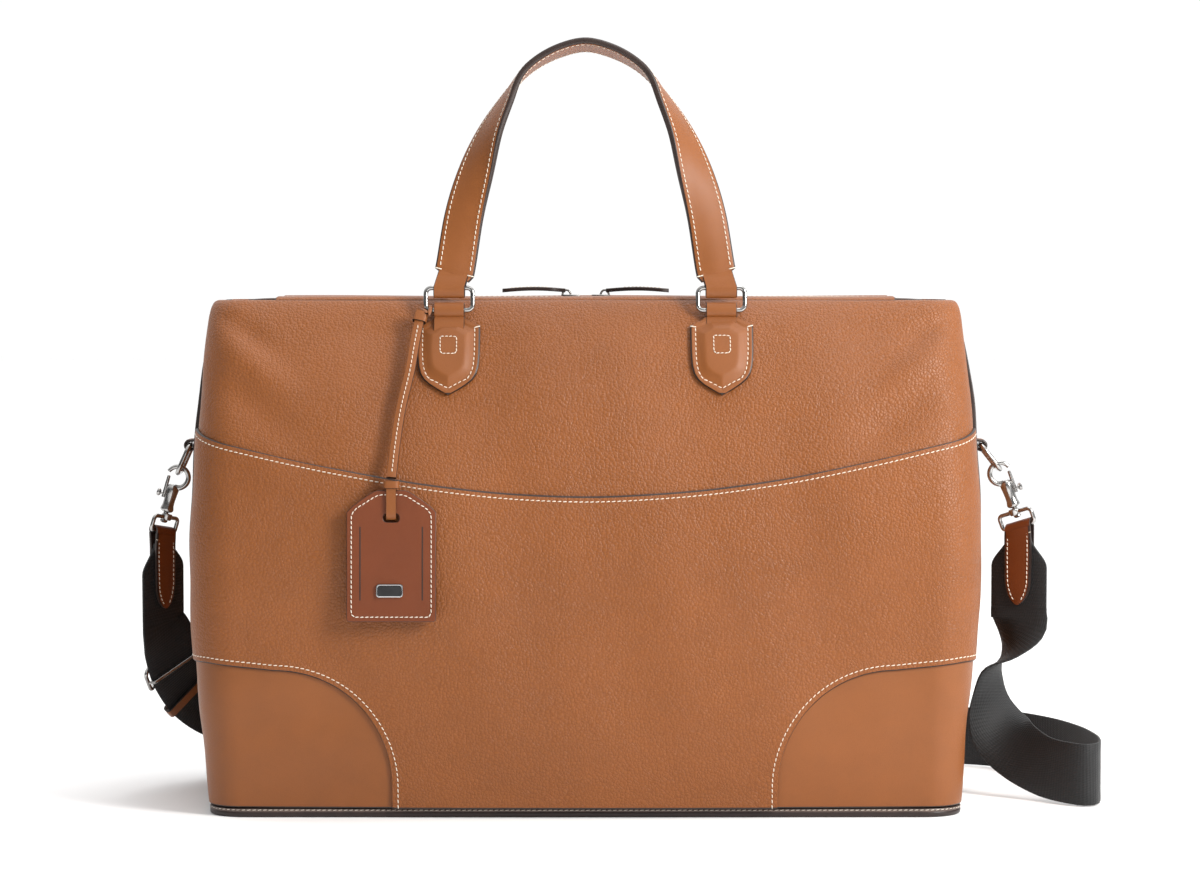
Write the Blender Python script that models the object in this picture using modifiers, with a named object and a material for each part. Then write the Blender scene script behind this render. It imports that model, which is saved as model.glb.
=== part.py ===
"""Leather weekender bag with two ring-hung handles, a zipped mouth, a luggage tag and a clip-on shoulder strap.

Metres, +X to the bag's right, +Y to its back, +Z up. The origin is the centre of the underside of the base.
The body is a stack of skins over one surface, shell_point(s, z): z is the height, and s is the distance
round the bag from the middle of its front. Outer skins lie at depth 0 and each lining layer lies deeper.
"""

import math

import bmesh
import bpy
import numpy as np
from mathutils import Matrix, Vector

# ---- driving dimensions -------------------------------------------------------------------------------

LEATHER = 0.0018  # thickness of one leather skin
GAP = 0.0004  # air between neighbours
LAYER = LEATHER + GAP  # step in depth from one skin to the next
SIDE_LAP = 0.004  # how far a front or back panel turns onto the side

BASE_THICK = 0.0055
BOARD_THICK = 0.0030
PANEL_FOOT = BASE_THICK + GAP  # height of every panel's lower edge

# height, half-width, half-depth and corner radius of the bag's outside
SECTIONS = [
    (0.0000, 0.2395, 0.1020, 0.024),
    (0.0100, 0.2415, 0.1035, 0.025),
    (0.0500, 0.2445, 0.1065, 0.028),
    (0.1000, 0.2482, 0.1078, 0.030),
    (0.1650, 0.2508, 0.1065, 0.030),
    (0.2050, 0.2505, 0.1005, 0.029),
    (0.2450, 0.2495, 0.0895, 0.028),
    (0.2850, 0.2475, 0.0740, 0.026),
    (0.3100, 0.2450, 0.0615, 0.024),
    (0.3180, 0.2440, 0.0565, 0.023),
    (0.3235, 0.2425, 0.0520, 0.022),
    (0.3268, 0.2398, 0.0480, 0.021),
    (0.3282, 0.2345, 0.0440, 0.020),
]
FRONT_PUFF = 0.0045  # how far the middle of the front and back stands out
SIDE_PUFF = 0.0030
TOP_Z = SECTIONS[-1][0]
FOLD_Y = SECTIONS[-1][2]

SEAM_LOW = 0.2036  # the smile-shaped seam across the front, at its middle
SEAM_RISE = 0.0410
SEAM_HALF = 0.2600
BOOT_INNER = 0.1215  # the smooth corner piece: its inner edge, its curve and its top
BOOT_RADIUS = 0.0735
BOOT_CURVE_FOOT = 0.0200
BOOT_TOP_SIDE = 0.0980

FLAP_HALF = 0.2000  # the part of the top that opens with the zip
FLAP_START = 0.0014  # from the fold line to the flap's own edge
FLAP_INNER_Y = 0.0095
TEETH_OUT = 0.0036
TEETH_GAP = 0.0006

HANDLE_X = 0.0870  # from the bag's middle to the middle of each handle end
RING_HALF_WIDTH = 0.0150
RING_HEIGHT = 0.0145
RING_WIRE = 0.0015
RING_TILT = 10.0  # degrees that the front rings lean back
NECK_HALF = 0.0098
CHAPE_THICK = 0.0034
CHAPE_LOOP = 0.0036
CHAPE_BAR_Z = 0.3175
BORE = 0.0020  # hole in each leather loop
HANDLE_LOOP = 0.0040
HANDLE_WIDTH = 0.0256
HANDLE_THICK = 0.0042
HANDLE_TILT = 10.0  # the front handle stands, leaning back
REAR_RING_TILT = 131.0  # the rear rings and handle hang down behind
REAR_HANDLE_TILT = 150.0
# half-spread and height of the handle's middle line above its rings, and its twist in degrees
HANDLE_ARCH = [
    (0.0870, 0.0035, 0),
    (0.0835, 0.0110, 0),
    (0.0780, 0.0454, 10),
    (0.0714, 0.0716, 25),
    (0.0624, 0.0993, 50),
    (0.0514, 0.1218, 69),
    (0.0425, 0.1370, 84),
    (0.0320, 0.1470, 88),
    (0.0170, 0.1550, 90),
    (0.0000, 0.1590, 90),
]

TAB_PIN = (0.2590, 0.2310)  # x and z of the side tab's loop, which is the D-ring's upper bar
D_RING_DROP = 0.0200
D_RING_HALF = 0.0120
D_RING_WIRE = 0.0016
CLAW_RADIUS = 0.0070
CLAW_WIRE = 0.0015
BARREL_RADIUS = 0.0044
HOOK_LENGTH = 0.0370  # claw's centre to the swivel's lower bar
SWIVEL_HALF = 0.0115
STRAP_WIDTH = 0.0400
STRAP_THICK = 0.0018
TONGUE_HALF = 0.0098
TONGUE_LENGTH = 0.0500

TAG_WIDTH = 0.0560
TAG_HEIGHT = 0.0835
TAG_LEATHER = 0.0016
TAG_STRAP_WIDTH = 0.0060
TAG_STRAP_THICK = 0.0032
TAG_TOP = (-0.1212, 0.2090)  # x and z of the fold where the tag hangs from its strap

# ---- scene, materials and small helpers ----------------------------------------------------------------


def clear_scene():
    for each in list(bpy.data.objects):
        bpy.data.objects.remove(each)


clear_scene()
PARTS = bpy.data.collections.new("weekender_bag")
TOOLS = bpy.data.collections.new("cutters")
for group in (PARTS, TOOLS):
    bpy.context.scene.collection.children.link(group)


def make_material(name, colour, roughness, metallic=0.0):
    made = bpy.data.materials.new(name)
    made.use_nodes = True
    shader = made.node_tree.nodes["Principled BSDF"]
    shader.inputs["Base Color"].default_value = (*colour, 1.0)
    shader.inputs["Roughness"].default_value = roughness
    shader.inputs["Metallic"].default_value = metallic
    return made


GRAINED = make_material("grained_leather", (0.42, 0.19, 0.08), 0.55)
SMOOTH = make_material("smooth_leather", (0.44, 0.19, 0.07), 0.40)
EDGE = make_material("painted_edge", (0.06, 0.04, 0.035), 0.45)
BOARD = make_material("fibre_board", (0.16, 0.13, 0.10), 0.85)
CLOTH = make_material("lining_cloth", (0.12, 0.10, 0.09), 0.90)
TAPE = make_material("zip_tape", (0.012, 0.012, 0.013), 0.85)
METAL = make_material("polished_metal", (0.75, 0.75, 0.77), 0.12, 1.0)
WEBBING = make_material("webbing", (0.014, 0.014, 0.016), 0.80)
ENAMEL = make_material("badge_metal", (0.55, 0.55, 0.57), 0.15, 1.0)


def add_object(name, mesh, material, collection=None):
    made = bpy.data.objects.new(name, mesh)
    mesh.materials.append(material)
    (collection or PARTS).objects.link(made)
    return made


def mesh_from(build, name="shape"):
    mesh = bpy.data.meshes.new(name)
    work = bmesh.new()
    build(work)
    bmesh.ops.recalc_face_normals(work, faces=work.faces)
    work.to_mesh(mesh)
    work.free()
    return mesh


def cubic(table, at, column):
    """A smooth value from a table of rows that start with their position."""
    rows = [row[0] for row in table]
    last = len(rows) - 2
    i = max(0, min(last, int(np.searchsorted(rows, at)) - 1))

    def slope(k):
        a, b = max(k - 1, 0), min(k + 1, len(rows) - 1)
        return (table[b][column] - table[a][column]) / (rows[b] - rows[a])

    span = rows[i + 1] - rows[i]
    t = min(1.0, max(0.0, (at - rows[i]) / span))
    h = (2 * t**3 - 3 * t**2 + 1, t**3 - 2 * t**2 + t, -2 * t**3 + 3 * t**2, t**3 - t**2)
    return (
        h[0] * table[i][column]
        + h[1] * span * slope(i)
        + h[2] * table[i + 1][column]
        + h[3] * span * slope(i + 1)
    )


def smooth_line(points, count):
    """Catmull-Rom curve through points of any dimension, sampled evenly by its own parameter."""
    p = np.array(points, float)
    p = np.vstack([2 * p[0] - p[1], p, 2 * p[-1] - p[-2]])
    made = []
    for k in range(count):
        u = k / (count - 1) * (len(p) - 3)
        i = min(int(u), len(p) - 4)
        t = u - i
        a, b, c, d = p[i : i + 4]
        made.append(
            0.5 * (2 * b + (c - a) * t + (2 * a - 5 * b + 4 * c - d) * t**2)
            + 0.5 * (3 * b - a - 3 * c + d) * t**3
        )
    return made


# ---- the bag's outside as a surface --------------------------------------------------------------------


def section(z):
    return tuple(cubic(SECTIONS, z, column) for column in (1, 2, 3))


def shell_raw(s, z):
    """Point at distance s round from the front's middle (negative to the left) and at height z."""
    width, depth, radius = section(z)
    flat, arc = width - radius, radius * math.pi / 2
    t = abs(s)
    if t <= flat:
        x, y = t, -depth - FRONT_PUFF * (1 - (t / flat) ** 2) * min(1.0, (TOP_Z - z) / 0.06)
    elif t <= flat + arc:
        turn = (t - flat) / radius
        x = flat + radius * math.sin(turn)
        y = -(depth - radius) - radius * math.cos(turn)
    else:
        y = -(depth - radius) + (t - flat - arc)
        x = width + SIDE_PUFF * (1 - (y / (depth - radius)) ** 2) * min(1.0, (TOP_Z - z) / 0.12)
    return Vector((math.copysign(x, s if s else 1.0), y, z))


def shell_point(s, z, depth=0.0):
    """The outside, sunk by depth along its normal."""
    step = 0.0005
    low, high = max(z - step, 0.0), min(z + step, TOP_Z)
    along = shell_raw(s + step, z) - shell_raw(s - step, z)
    up = shell_raw(s, high) - shell_raw(s, low)
    return shell_raw(s, z) - along.cross(up).normalized() * depth


def side_start(z):
    """The distance s at which the rounded corner ends and the side begins."""
    width, _, radius = section(z)
    return width - radius + radius * math.pi / 2


def side_middle(z):
    _, depth, radius = section(z)
    return side_start(z) + depth - radius


def grid(name, rows, material, thickness=LEATHER, mirror=None, flip=False):
    """A skin: rows of points on its outer face, thickened inwards."""
    across, up = len(rows[0]) - 1, len(rows) - 1

    def build(work):
        bmesh.ops.create_grid(work, x_segments=across, y_segments=up, size=1.0)
        for vert in work.verts:
            i = round((vert.co.x + 1) / 2 * across)
            j = round((vert.co.y + 1) / 2 * up)
            vert.co = rows[j][i]

    mesh = bpy.data.meshes.new(name)
    work = bmesh.new()
    build(work)
    if flip:
        bmesh.ops.reverse_faces(work, faces=work.faces)
    work.to_mesh(mesh)
    work.free()
    made = add_object(name, mesh, material)
    if mirror is not None:
        reflect = made.modifiers.new("mirror", "MIRROR")
        reflect.use_axis = [axis == mirror for axis in range(3)]
        reflect.merge_threshold = 0.0001
    solid = made.modifiers.new("thickness", "SOLIDIFY")
    solid.thickness = thickness
    solid.offset = -1.0
    solid.use_even_offset = True
    return made


def loft(name, rings, material, collection=None):
    """A solid through rings of points, for shapes whose section changes or twists."""

    def build(work):
        made = [[work.verts.new(p) for p in ring] for ring in rings]
        count = len(rings[0])
        for a, b in zip(made, made[1:]):
            for k in range(count):
                m = (k + 1) % count
                work.faces.new((a[k], a[m], b[m], b[k]))
        work.faces.new(made[0][::-1])
        work.faces.new(made[-1])

    return add_object(name, mesh_from(build, name), material, collection)


def tube(name, points, radius, material, cyclic=False, collection=None, resolution=2):
    """A round bar along points, made a closed mesh."""
    curve = bpy.data.curves.new(name + "_line", "CURVE")
    curve.dimensions = "3D"
    curve.bevel_depth = radius
    curve.bevel_resolution = resolution
    curve.use_fill_caps = True
    spline = curve.splines.new("POLY")
    spline.points.add(len(points) - 1)
    for point, place in zip(spline.points, points):
        point.co = (*place, 1.0)
    spline.use_cyclic_u = cyclic
    line = bpy.data.objects.new(name + "_line", curve)
    TOOLS.objects.link(line)
    mesh = bpy.data.meshes.new_from_object(line.evaluated_get(bpy.context.evaluated_depsgraph_get()))
    bpy.data.objects.remove(line)
    work = bmesh.new()
    work.from_mesh(mesh)
    bmesh.ops.remove_doubles(work, verts=work.verts, dist=0.00001)
    bmesh.ops.recalc_face_normals(work, faces=work.faces)
    work.to_mesh(mesh)
    work.free()
    return add_object(name, mesh, material, collection)


def rod(name, start, end, radius, material, collection=None, segments=16, end_radius=None):
    """A round pin from start to end."""
    start, end = Vector(start), Vector(end)
    turn = (end - start).to_track_quat("Z", "Y").to_matrix().to_4x4()

    def build(work):
        bmesh.ops.create_cone(
            work,
            cap_ends=True,
            segments=segments,
            radius1=radius,
            radius2=radius if end_radius is None else end_radius,
            depth=(end - start).length,
            matrix=Matrix.Translation((start + end) / 2) @ turn,
        )

    return add_object(name, mesh_from(build, name), material, collection)


def block(name, low, high, material, collection=None):
    low, high = Vector(low), Vector(high)

    def build(work):
        size = Matrix.Diagonal((*(high - low), 1.0))
        bmesh.ops.create_cube(work, size=1.0, matrix=Matrix.Translation((low + high) / 2) @ size)

    return add_object(name, mesh_from(build, name), material, collection)


def plate(name, outlines, thickness, place, material, collection=None):
    """A flat outline, with any holes after it, thickened both ways about its own plane."""
    curve = bpy.data.curves.new(name + "_outline", "CURVE")
    curve.dimensions = "2D"
    curve.fill_mode = "BOTH"
    curve.extrude = thickness / 2
    for outline in outlines:
        spline = curve.splines.new("POLY")
        spline.points.add(len(outline) - 1)
        for point, (x, y) in zip(spline.points, outline):
            point.co = (x, y, 0.0, 1.0)
        spline.use_cyclic_u = True
    line = bpy.data.objects.new(name + "_outline", curve)
    TOOLS.objects.link(line)
    mesh = bpy.data.meshes.new_from_object(line.evaluated_get(bpy.context.evaluated_depsgraph_get()))
    bpy.data.objects.remove(line)
    work = bmesh.new()
    work.from_mesh(mesh)
    bmesh.ops.remove_doubles(work, verts=work.verts, dist=0.00001)
    bmesh.ops.recalc_face_normals(work, faces=work.faces)
    work.transform(place)
    work.to_mesh(mesh)
    work.free()
    return add_object(name, mesh, material, collection)


def rounded_outline(half_x, half_y, radius, steps=4, centre=(0.0, 0.0)):
    corners = [(1, 1, 0), (-1, 1, 90), (-1, -1, 180), (1, -1, 270)]
    return [
        (
            centre[0] + sx * (half_x - radius) + radius * math.cos(math.radians(start + 90 * k / steps)),
            centre[1] + sy * (half_y - radius) + radius * math.sin(math.radians(start + 90 * k / steps)),
        )
        for sx, sy, start in corners
        for k in range(steps + 1)
    ]


def combine(target, tool, operation):
    """Boolean of a tool on a target. The tool stays as a hidden guide."""
    cut = target.modifiers.new(operation.lower(), "BOOLEAN")
    cut.operation = operation
    cut.solver = "EXACT"
    cut.object = tool
    tool.hide_render = True
    tool.display_type = "WIRE"
    return target


def hang_on(pieces, name, pivot):
    """Parents pieces to an empty that stands on their joint's axis."""
    empty = bpy.data.objects.new(name, None)
    empty.empty_display_size = 0.01
    empty.location = pivot
    PARTS.objects.link(empty)
    for piece in pieces:
        piece.parent = empty
        piece.matrix_parent_inverse = Matrix.Translation(-Vector(pivot))


# ---- body skins ----------------------------------------------------------------------------------------


def seam_height(s):
    return SEAM_LOW + SEAM_RISE * min(1.0, abs(s) / SEAM_HALF) ** 1.8


def boot_edge(count=9):
    """The corner piece's edge on the front, from its foot to where the rounded bag corner begins."""
    centre = BOOT_INNER + BOOT_RADIUS
    made = [(BOOT_INNER, PANEL_FOOT), (BOOT_INNER, BOOT_CURVE_FOOT)]
    for k in range(1, count):
        turn = math.pi / 2 * k / (count - 1)
        z = BOOT_CURVE_FOOT + BOOT_RADIUS * math.sin(turn)
        made.append((centre - BOOT_RADIUS * math.cos(turn), z))
    return made


def boot_top(s):
    """Height of the corner piece's top edge beyond its curve."""
    start = BOOT_INNER + BOOT_RADIUS
    low = BOOT_CURVE_FOOT + BOOT_RADIUS
    return low + (BOOT_TOP_SIDE - low) * min(1.0, (s - start) / 0.045)


def corner_steps(z, lap, count=6):
    """Distances s from just before the rounded corner to a little way onto the side."""
    width, _, radius = section(z)
    flat, arc = width - radius, radius * math.pi / 2
    return [flat + arc * k / count for k in range(count + 1)] + [flat + arc + lap]


def side_steps(z):
    """Distances s round a corner and on to the middle of the side."""
    corner = corner_steps(z, 0.0)[:-1]
    return corner + list(np.linspace(corner[-1], side_middle(z), 5))[1:]


def front_lower(name, back):
    """Lower panel: its foot between the corner pieces, then over them, up to the seam."""
    edge = boot_edge()
    foot = [(s, PANEL_FOOT) for s in (0.0, 0.045, 0.09)] + [(s - GAP, z + GAP) for s, z in edge]
    foot[3] = (foot[3][0], PANEL_FOOT)
    top_s = list(np.linspace(0.0, edge[-1][0], len(foot)))
    foot.append((0.207, boot_top(0.207) + GAP))
    top_s.append(0.207)
    for low_s, high_s in zip(corner_steps(BOOT_TOP_SIDE, SIDE_LAP), corner_steps(0.235, SIDE_LAP)):
        foot.append((low_s, boot_top(low_s) + GAP))
        top_s.append(high_s)
    rows = []
    count = 8
    for j in range(count + 1):
        v = j / count
        row = []
        for (low_s, low_z), high_s in zip(foot, top_s):
            s = low_s + (high_s - low_s) * v
            point = shell_point(s, low_z + (seam_height(high_s) - low_z) * v)
            row.append(Vector((point.x, -point.y, point.z)) if back else point)
        rows.append(row)
    return grid(name, rows, GRAINED, mirror=0, flip=back)


def front_upper(name, back):
    """Upper panel: from under the lower one, over the shoulder to the top's fold."""
    heights = [0.0, 0.18, 0.36, 0.54, 0.70, 0.82, 0.90, 0.95, 0.98, 1.0]
    base_z = 0.235
    rows = []
    for v in heights:
        row = []
        flats = [0.0, 0.03, 0.06, 0.09, 0.12, 0.15, 0.18, 0.20]
        for k in range(len(flats) + 8):
            low = flats + corner_steps(base_z, SIDE_LAP)
            seam = seam_height(low[k]) + GAP
            z = seam + (TOP_Z - seam) * v
            s = (flats + corner_steps(z, SIDE_LAP))[k]
            point = shell_point(s, z)
            row.append(Vector((point.x, -point.y, point.z)) if back else point)
        rows.append(row)
    return grid(name, rows, GRAINED, mirror=0, flip=back)


def corner_boot(name, side):
    """Smooth corner piece, round from the front over the side to the back."""
    top = boot_edge()[1:] + [(0.207, boot_top(0.207))]
    top += [(s, boot_top(s)) for s in side_steps(BOOT_TOP_SIDE)]
    foot_s = list(np.linspace(BOOT_INNER, 0.19, len(boot_edge()) - 1)) + [0.204] + side_steps(PANEL_FOOT)
    rows = []
    count = 4
    for j in range(count + 1):
        v = j / count
        row = []
        for (high_s, high_z), low_s in zip(top, foot_s):
            z = PANEL_FOOT + (high_z - PANEL_FOOT) * v
            s = low_s + (high_s - low_s) * v
            if high_s == top[-1][0]:
                s = side_middle(z)
            point = shell_point(s, z)
            if high_s == top[-1][0]:
                point.y = 0.0
            row.append(Vector((point.x * side, point.y, point.z)))
        rows.append(row)
    return grid(name, rows, SMOOTH, mirror=1, flip=side < 0)


def gusset(name, side):
    """Side wall behind the front and back panels' edges, folded inwards over the top."""
    depth = LAYER
    rows = []
    for z in (PANEL_FOOT, 0.05, 0.10, 0.15, 0.20, 0.235, 0.265, 0.29, 0.305, 0.315, 0.3215):
        edge, middle = side_start(z) - 0.010, side_middle(z)
        row = []
        for k in range(7):
            point = shell_point(edge + (middle - edge) * k / 6, z, depth)
            if k == 6:
                point.y = 0.0
            row.append(Vector((point.x * side, point.y, point.z)))
        rows.append(row)
    for x, z in ((0.2245, 0.3242), (0.2150, 0.3246), (FLAP_HALF + 0.003, 0.3246)):
        rows.append([Vector((x * side, y, z)) for y in np.linspace(-0.036, 0.0, 7)])
    return grid(name, rows, GRAINED, mirror=1, flip=side < 0)


def lining():
    """Cloth bag inside, open at the top."""
    depth = 2 * LAYER + 0.0006
    rows = []
    for z in (0.0100, 0.05, 0.10, 0.16, 0.20, 0.24, 0.275, 0.30, 0.314):
        steps = [0.0, 0.06, 0.12, 0.18] + side_steps(z)
        row = []
        for s in steps:
            point = shell_point(s, z, depth)
            if s == steps[-1]:
                point.y = 0.0
            row.append(point)
        rows.append(row)
    foot = rows[0]
    steps = [0.0, 0.06, 0.12, 0.18] + side_steps(0.0100)
    spine = [Vector((0.9 * foot[-1].x * s / steps[-1], 0.0, foot[0].z)) for s in steps]
    half_way = [(a + b) / 2 for a, b in zip(foot, spine)]
    made = grid("lining", [spine, half_way] + rows, CLOTH, thickness=0.0008)
    made.modifiers.remove(made.modifiers["thickness"])
    for axis in (0, 1):
        reflect = made.modifiers.new("mirror", "MIRROR")
        reflect.use_axis = [axis == k for k in range(3)]
        reflect.merge_threshold = 0.0001
    solid = made.modifiers.new("thickness", "SOLIDIFY")
    solid.thickness = 0.0008
    solid.offset = -1.0
    return made


def base():
    """Leather base with a painted edge, and the board that stiffens it."""
    width, depth, radius = section(0.0)
    outline = rounded_outline(width, depth, radius, steps=6)
    lift = Matrix.Translation((0, 0, BASE_THICK / 2))
    plate("base_panel", [outline], BASE_THICK, lift, EDGE)
    inset = 2 * LAYER + 0.003
    outline = rounded_outline(width - inset, depth - inset, radius - inset / 2, steps=4)
    lift = Matrix.Translation((0, 0, PANEL_FOOT + BOARD_THICK / 2))
    plate("base_board", [outline], BOARD_THICK, lift, BOARD)


# ---- top: flaps, zip and its pulls ---------------------------------------------------------------------


def top_flap(name, back):
    """The strip of leather from the fold to the zip. It turns about the fold."""
    front_y, inner_y = -FOLD_Y + FLAP_START, -FLAP_INNER_Y
    rows = [
        [Vector((x, y if not back else -y, TOP_Z)) for x in np.linspace(-FLAP_HALF, FLAP_HALF, 9)]
        for y in (front_y, inner_y)
    ]
    return grid(name, rows, GRAINED, flip=back)


def zip_side(side_name, back):
    """One tape under its flap, with its row of teeth along the inner edge."""
    turn = -1 if not back else 1
    top = TOP_Z - LAYER
    half = FLAP_HALF - 0.002

    def span(near, far):
        return sorted((turn * near, turn * far))

    low_y, high_y = span(TEETH_OUT + 0.0003, 0.0200)
    tape = block(f"zip_tape_{side_name}", (-half, low_y, top - 0.0008), (half, high_y, top), TAPE)
    low_y, high_y = span(TEETH_GAP, TEETH_OUT)
    teeth = block(f"zip_teeth_{side_name}", (-half, low_y, top - 0.0018), (half, high_y, top + 0.0010), METAL)
    return [tape, teeth]


SLIDER_HALF = 0.0055
SLIDER_AT = 0.0095  # each slider's middle, either side of the bag's middle
PULL_PIN_Z = TOP_Z + 0.0036
PULL_LENGTH = 0.0420


def zip_slider(name, side):
    """Slider: upper plate over both rows, a web between them and a lower plate under the front row."""
    x = side * SLIDER_AT
    low_x, high_x = x - SLIDER_HALF, x + SLIDER_HALF
    teeth_top = TOP_Z - LAYER + 0.0010
    teeth_foot = TOP_Z - LAYER - 0.0018
    plate_low = teeth_top + 0.0004
    made = block(name, (low_x, -0.0046, plate_low), (high_x, 0.0046, plate_low + 0.0012), METAL)
    web_foot = teeth_foot - 0.0014
    web = block(name + "_web", (low_x, -0.0002, web_foot), (high_x, 0.0002, plate_low + 0.0006), METAL, TOOLS)
    lower_top = teeth_foot - 0.0003
    lower = block(name + "_lower", (low_x, -0.0046, web_foot), (high_x, 0.0001, lower_top), METAL, TOOLS)
    ears = []
    for k, y in enumerate((-0.0038, 0.0026)):
        pin_x = x + side * 0.0030
        foot = plate_low + 0.0006
        low = (pin_x - 0.0013, y, foot)
        ears.append(block(f"{name}_ear_{k}", low, (pin_x + 0.0013, y + 0.0012, PULL_PIN_Z + 0.0012), METAL, TOOLS))
    pin = rod(name + "_pin", (pin_x, -0.0030, PULL_PIN_Z), (pin_x, 0.0030, PULL_PIN_Z), 0.0006, METAL, TOOLS, 10)
    for tool in (web, lower, *ears, pin):
        combine(made, tool, "UNION")
    return made


def zip_pull(name, side):
    """Leather pull with an eye on the slider's pin, lying outwards along the zip."""
    pin_x = side * (SLIDER_AT + 0.0030)
    half = 0.0020
    eye = rod(name, (pin_x, -half, PULL_PIN_Z), (pin_x, half, PULL_PIN_Z), 0.0019, SMOOTH, None, 12)
    stations = [(0.0005, 0.0020, 0.0011), (0.0060, 0.0022, 0.0011), (0.0090, 0.0042, 0.0013)]
    stations += [(PULL_LENGTH - 0.004, 0.0046, 0.0013), (PULL_LENGTH, 0.0030, 0.0012)]
    rings = []
    for reach, wide, thick in stations:
        x = pin_x + side * reach
        z = PULL_PIN_Z + 0.0003
        corners = [(-wide, -thick), (wide, -thick), (wide, thick), (-wide, thick)]
        rings.append([Vector((x, y, z + t)) for y, t in corners])
    tab = loft(name + "_tab", rings, SMOOTH, TOOLS)
    bore = rod(name + "_bore", (pin_x, -0.01, PULL_PIN_Z), (pin_x, 0.01, PULL_PIN_Z), 0.0009, METAL, TOOLS, 10)
    combine(eye, tab, "UNION")
    return combine(eye, bore, "DIFFERENCE")


def zip_end(name, side):
    """Leather end piece that closes the zip over the folded side wall."""
    low_x, high_x = sorted((side * (FLAP_HALF + 0.0008), side * (FLAP_HALF + 0.0200)))
    return block(name, (low_x, -0.0100, TOP_Z - 0.0030), (high_x, 0.0100, TOP_Z - 0.0010), SMOOTH)


# ---- handles, their rings and chapes -------------------------------------------------------------------

# height and half-width of the shield, from its point to its neck
SHIELD = [
    (0.2670, 0.0012),
    (0.2700, 0.0078),
    (0.2745, 0.0138),
    (0.2805, 0.0180),
    (0.2877, 0.0198),
    (0.2985, 0.0200),
    (0.3075, 0.0200),
    (0.3090, 0.0150),
    (0.3108, 0.0112),
    (0.3132, NECK_HALF),
    (CHAPE_BAR_Z, NECK_HALF),
]


def bar_point():
    """Middle of the chape loop's bore, seen from the bag's middle plane: (y, z) on the front."""
    on = shell_point(HANDLE_X, CHAPE_BAR_Z, -(GAP + CHAPE_LOOP))
    return on.y, on.z


def chape(name, side, back):
    """Shield-shaped leather patch with a loop round the ring's lower bar."""
    rows = []
    for z, half in SHIELD:
        row = []
        for k in range(7):
            x = side * HANDLE_X + half * (k / 3 - 1)
            point = shell_point(x, z, -(GAP + CHAPE_THICK))
            row.append(Vector((point.x, -point.y, point.z)) if back else point)
        rows.append(row)
    made = grid(name, rows, SMOOTH, thickness=CHAPE_THICK, flip=back)
    y, z = bar_point()
    y = -y if back else y
    low, high = side * HANDLE_X - NECK_HALF, side * HANDLE_X + NECK_HALF
    barrel = rod(name + "_barrel", (low, y, z), (high, y, z), CHAPE_LOOP, SMOOTH, TOOLS)
    bore = rod(name + "_bore", (low - 0.01, y, z), (high + 0.01, y, z), BORE, SMOOTH, TOOLS, 12)
    combine(made, barrel, "UNION")
    return combine(made, bore, "DIFFERENCE")


def tilted(tilt, back):
    """Unit vector up a ring or handle that leans towards the back (or the front, on the rear) by tilt."""
    turn = math.radians(tilt)
    return Vector((0.0, math.sin(turn), math.cos(turn)))


def handle_ring(name, side, tilt, pivot):
    """Rectangular ring with round corners, its lower bar in the chape's loop."""
    up = tilted(tilt, False)
    corner = 0.0030
    outline = rounded_outline(RING_HALF_WIDTH, RING_HEIGHT / 2, corner, steps=3)
    points = [Vector((side * HANDLE_X + x, 0, 0)) + pivot + up * (z + RING_HEIGHT / 2) for x, z in outline]
    return tube(name, points, RING_WIRE, METAL, cyclic=True)


def handle(name, tilt, pivot):
    """Arched strap whose face turns outwards towards the top, with a loop round each ring."""
    up = tilted(tilt, False)
    front = Vector((1.0, 0.0, 0.0)).cross(up)
    half_line = smooth_line(HANDLE_ARCH, 19)
    line = [(-x, h, a) for x, h, a in half_line] + [(x, h, a) for x, h, a in half_line[-2::-1]]
    rings = []
    for k, (x, h, twist) in enumerate(line):
        a, b = line[max(k - 1, 0)], line[min(k + 1, len(line) - 1)]
        along = Vector((b[0] - a[0], b[1] - a[1])).normalized()
        outward = Vector((-along.y, 0, 0)) + up * along.x
        turn = math.radians(twist)
        wide = outward * -math.cos(turn) + front * math.sin(turn)
        face = front * math.cos(turn) + outward * math.sin(turn)
        grow = min(1.0, max(0.0, (h - 0.0035) / 0.0100))
        half = NECK_HALF + (HANDLE_WIDTH / 2 - NECK_HALF) * grow
        thick = HANDLE_THICK / 2
        centre = Vector((x, 0, 0)) + pivot + up * h
        spots = [(-1, -0.7), (-0.85, -1), (0.85, -1), (1, -0.7), (1, 0.7), (0.6, 1), (-0.6, 1), (-1, 0.7)]
        rings.append([centre + wide * half * p + face * thick * q for p, q in spots])
    made = loft(name, rings, SMOOTH)
    tools = []
    for side in (-1, 1):
        low, high = side * HANDLE_X - NECK_HALF, side * HANDLE_X + NECK_HALF
        ends = [Vector((x, 0, 0)) + pivot for x in (low, high)]
        tools.append((rod(f"{name}_loop_{side}", *ends, HANDLE_LOOP, SMOOTH, TOOLS), "UNION"))
        ends = [Vector((x, 0, 0)) + pivot for x in (low - 0.01, high + 0.01)]
        tools.append((rod(f"{name}_bore_{side}", *ends, BORE, SMOOTH, TOOLS, 12), "DIFFERENCE"))
    for tool, operation in sorted(tools, key=lambda pair: pair[1], reverse=True):
        combine(made, tool, operation)
    return made


# ---- shoulder strap and its clips ----------------------------------------------------------------------


def clip_frame(side, d_tilt, hook_tilt):
    """Points and directions of one clip: tab pin, D-ring bar, claw's centre and swivel bar."""
    pin = Vector((side * TAB_PIN[0], 0.0, TAB_PIN[1]))

    def down(tilt):
        turn = math.radians(tilt)
        return Vector((side * math.sin(turn), 0.0, -math.cos(turn)))

    lower = pin + down(d_tilt) * D_RING_DROP
    axis = down(hook_tilt)
    claw = lower + axis * (CLAW_RADIUS - CLAW_WIRE - D_RING_WIRE - 0.0006)
    return {"pin": pin, "lower": lower, "axis": axis, "claw": claw, "bar": claw + axis * HOOK_LENGTH}


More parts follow.
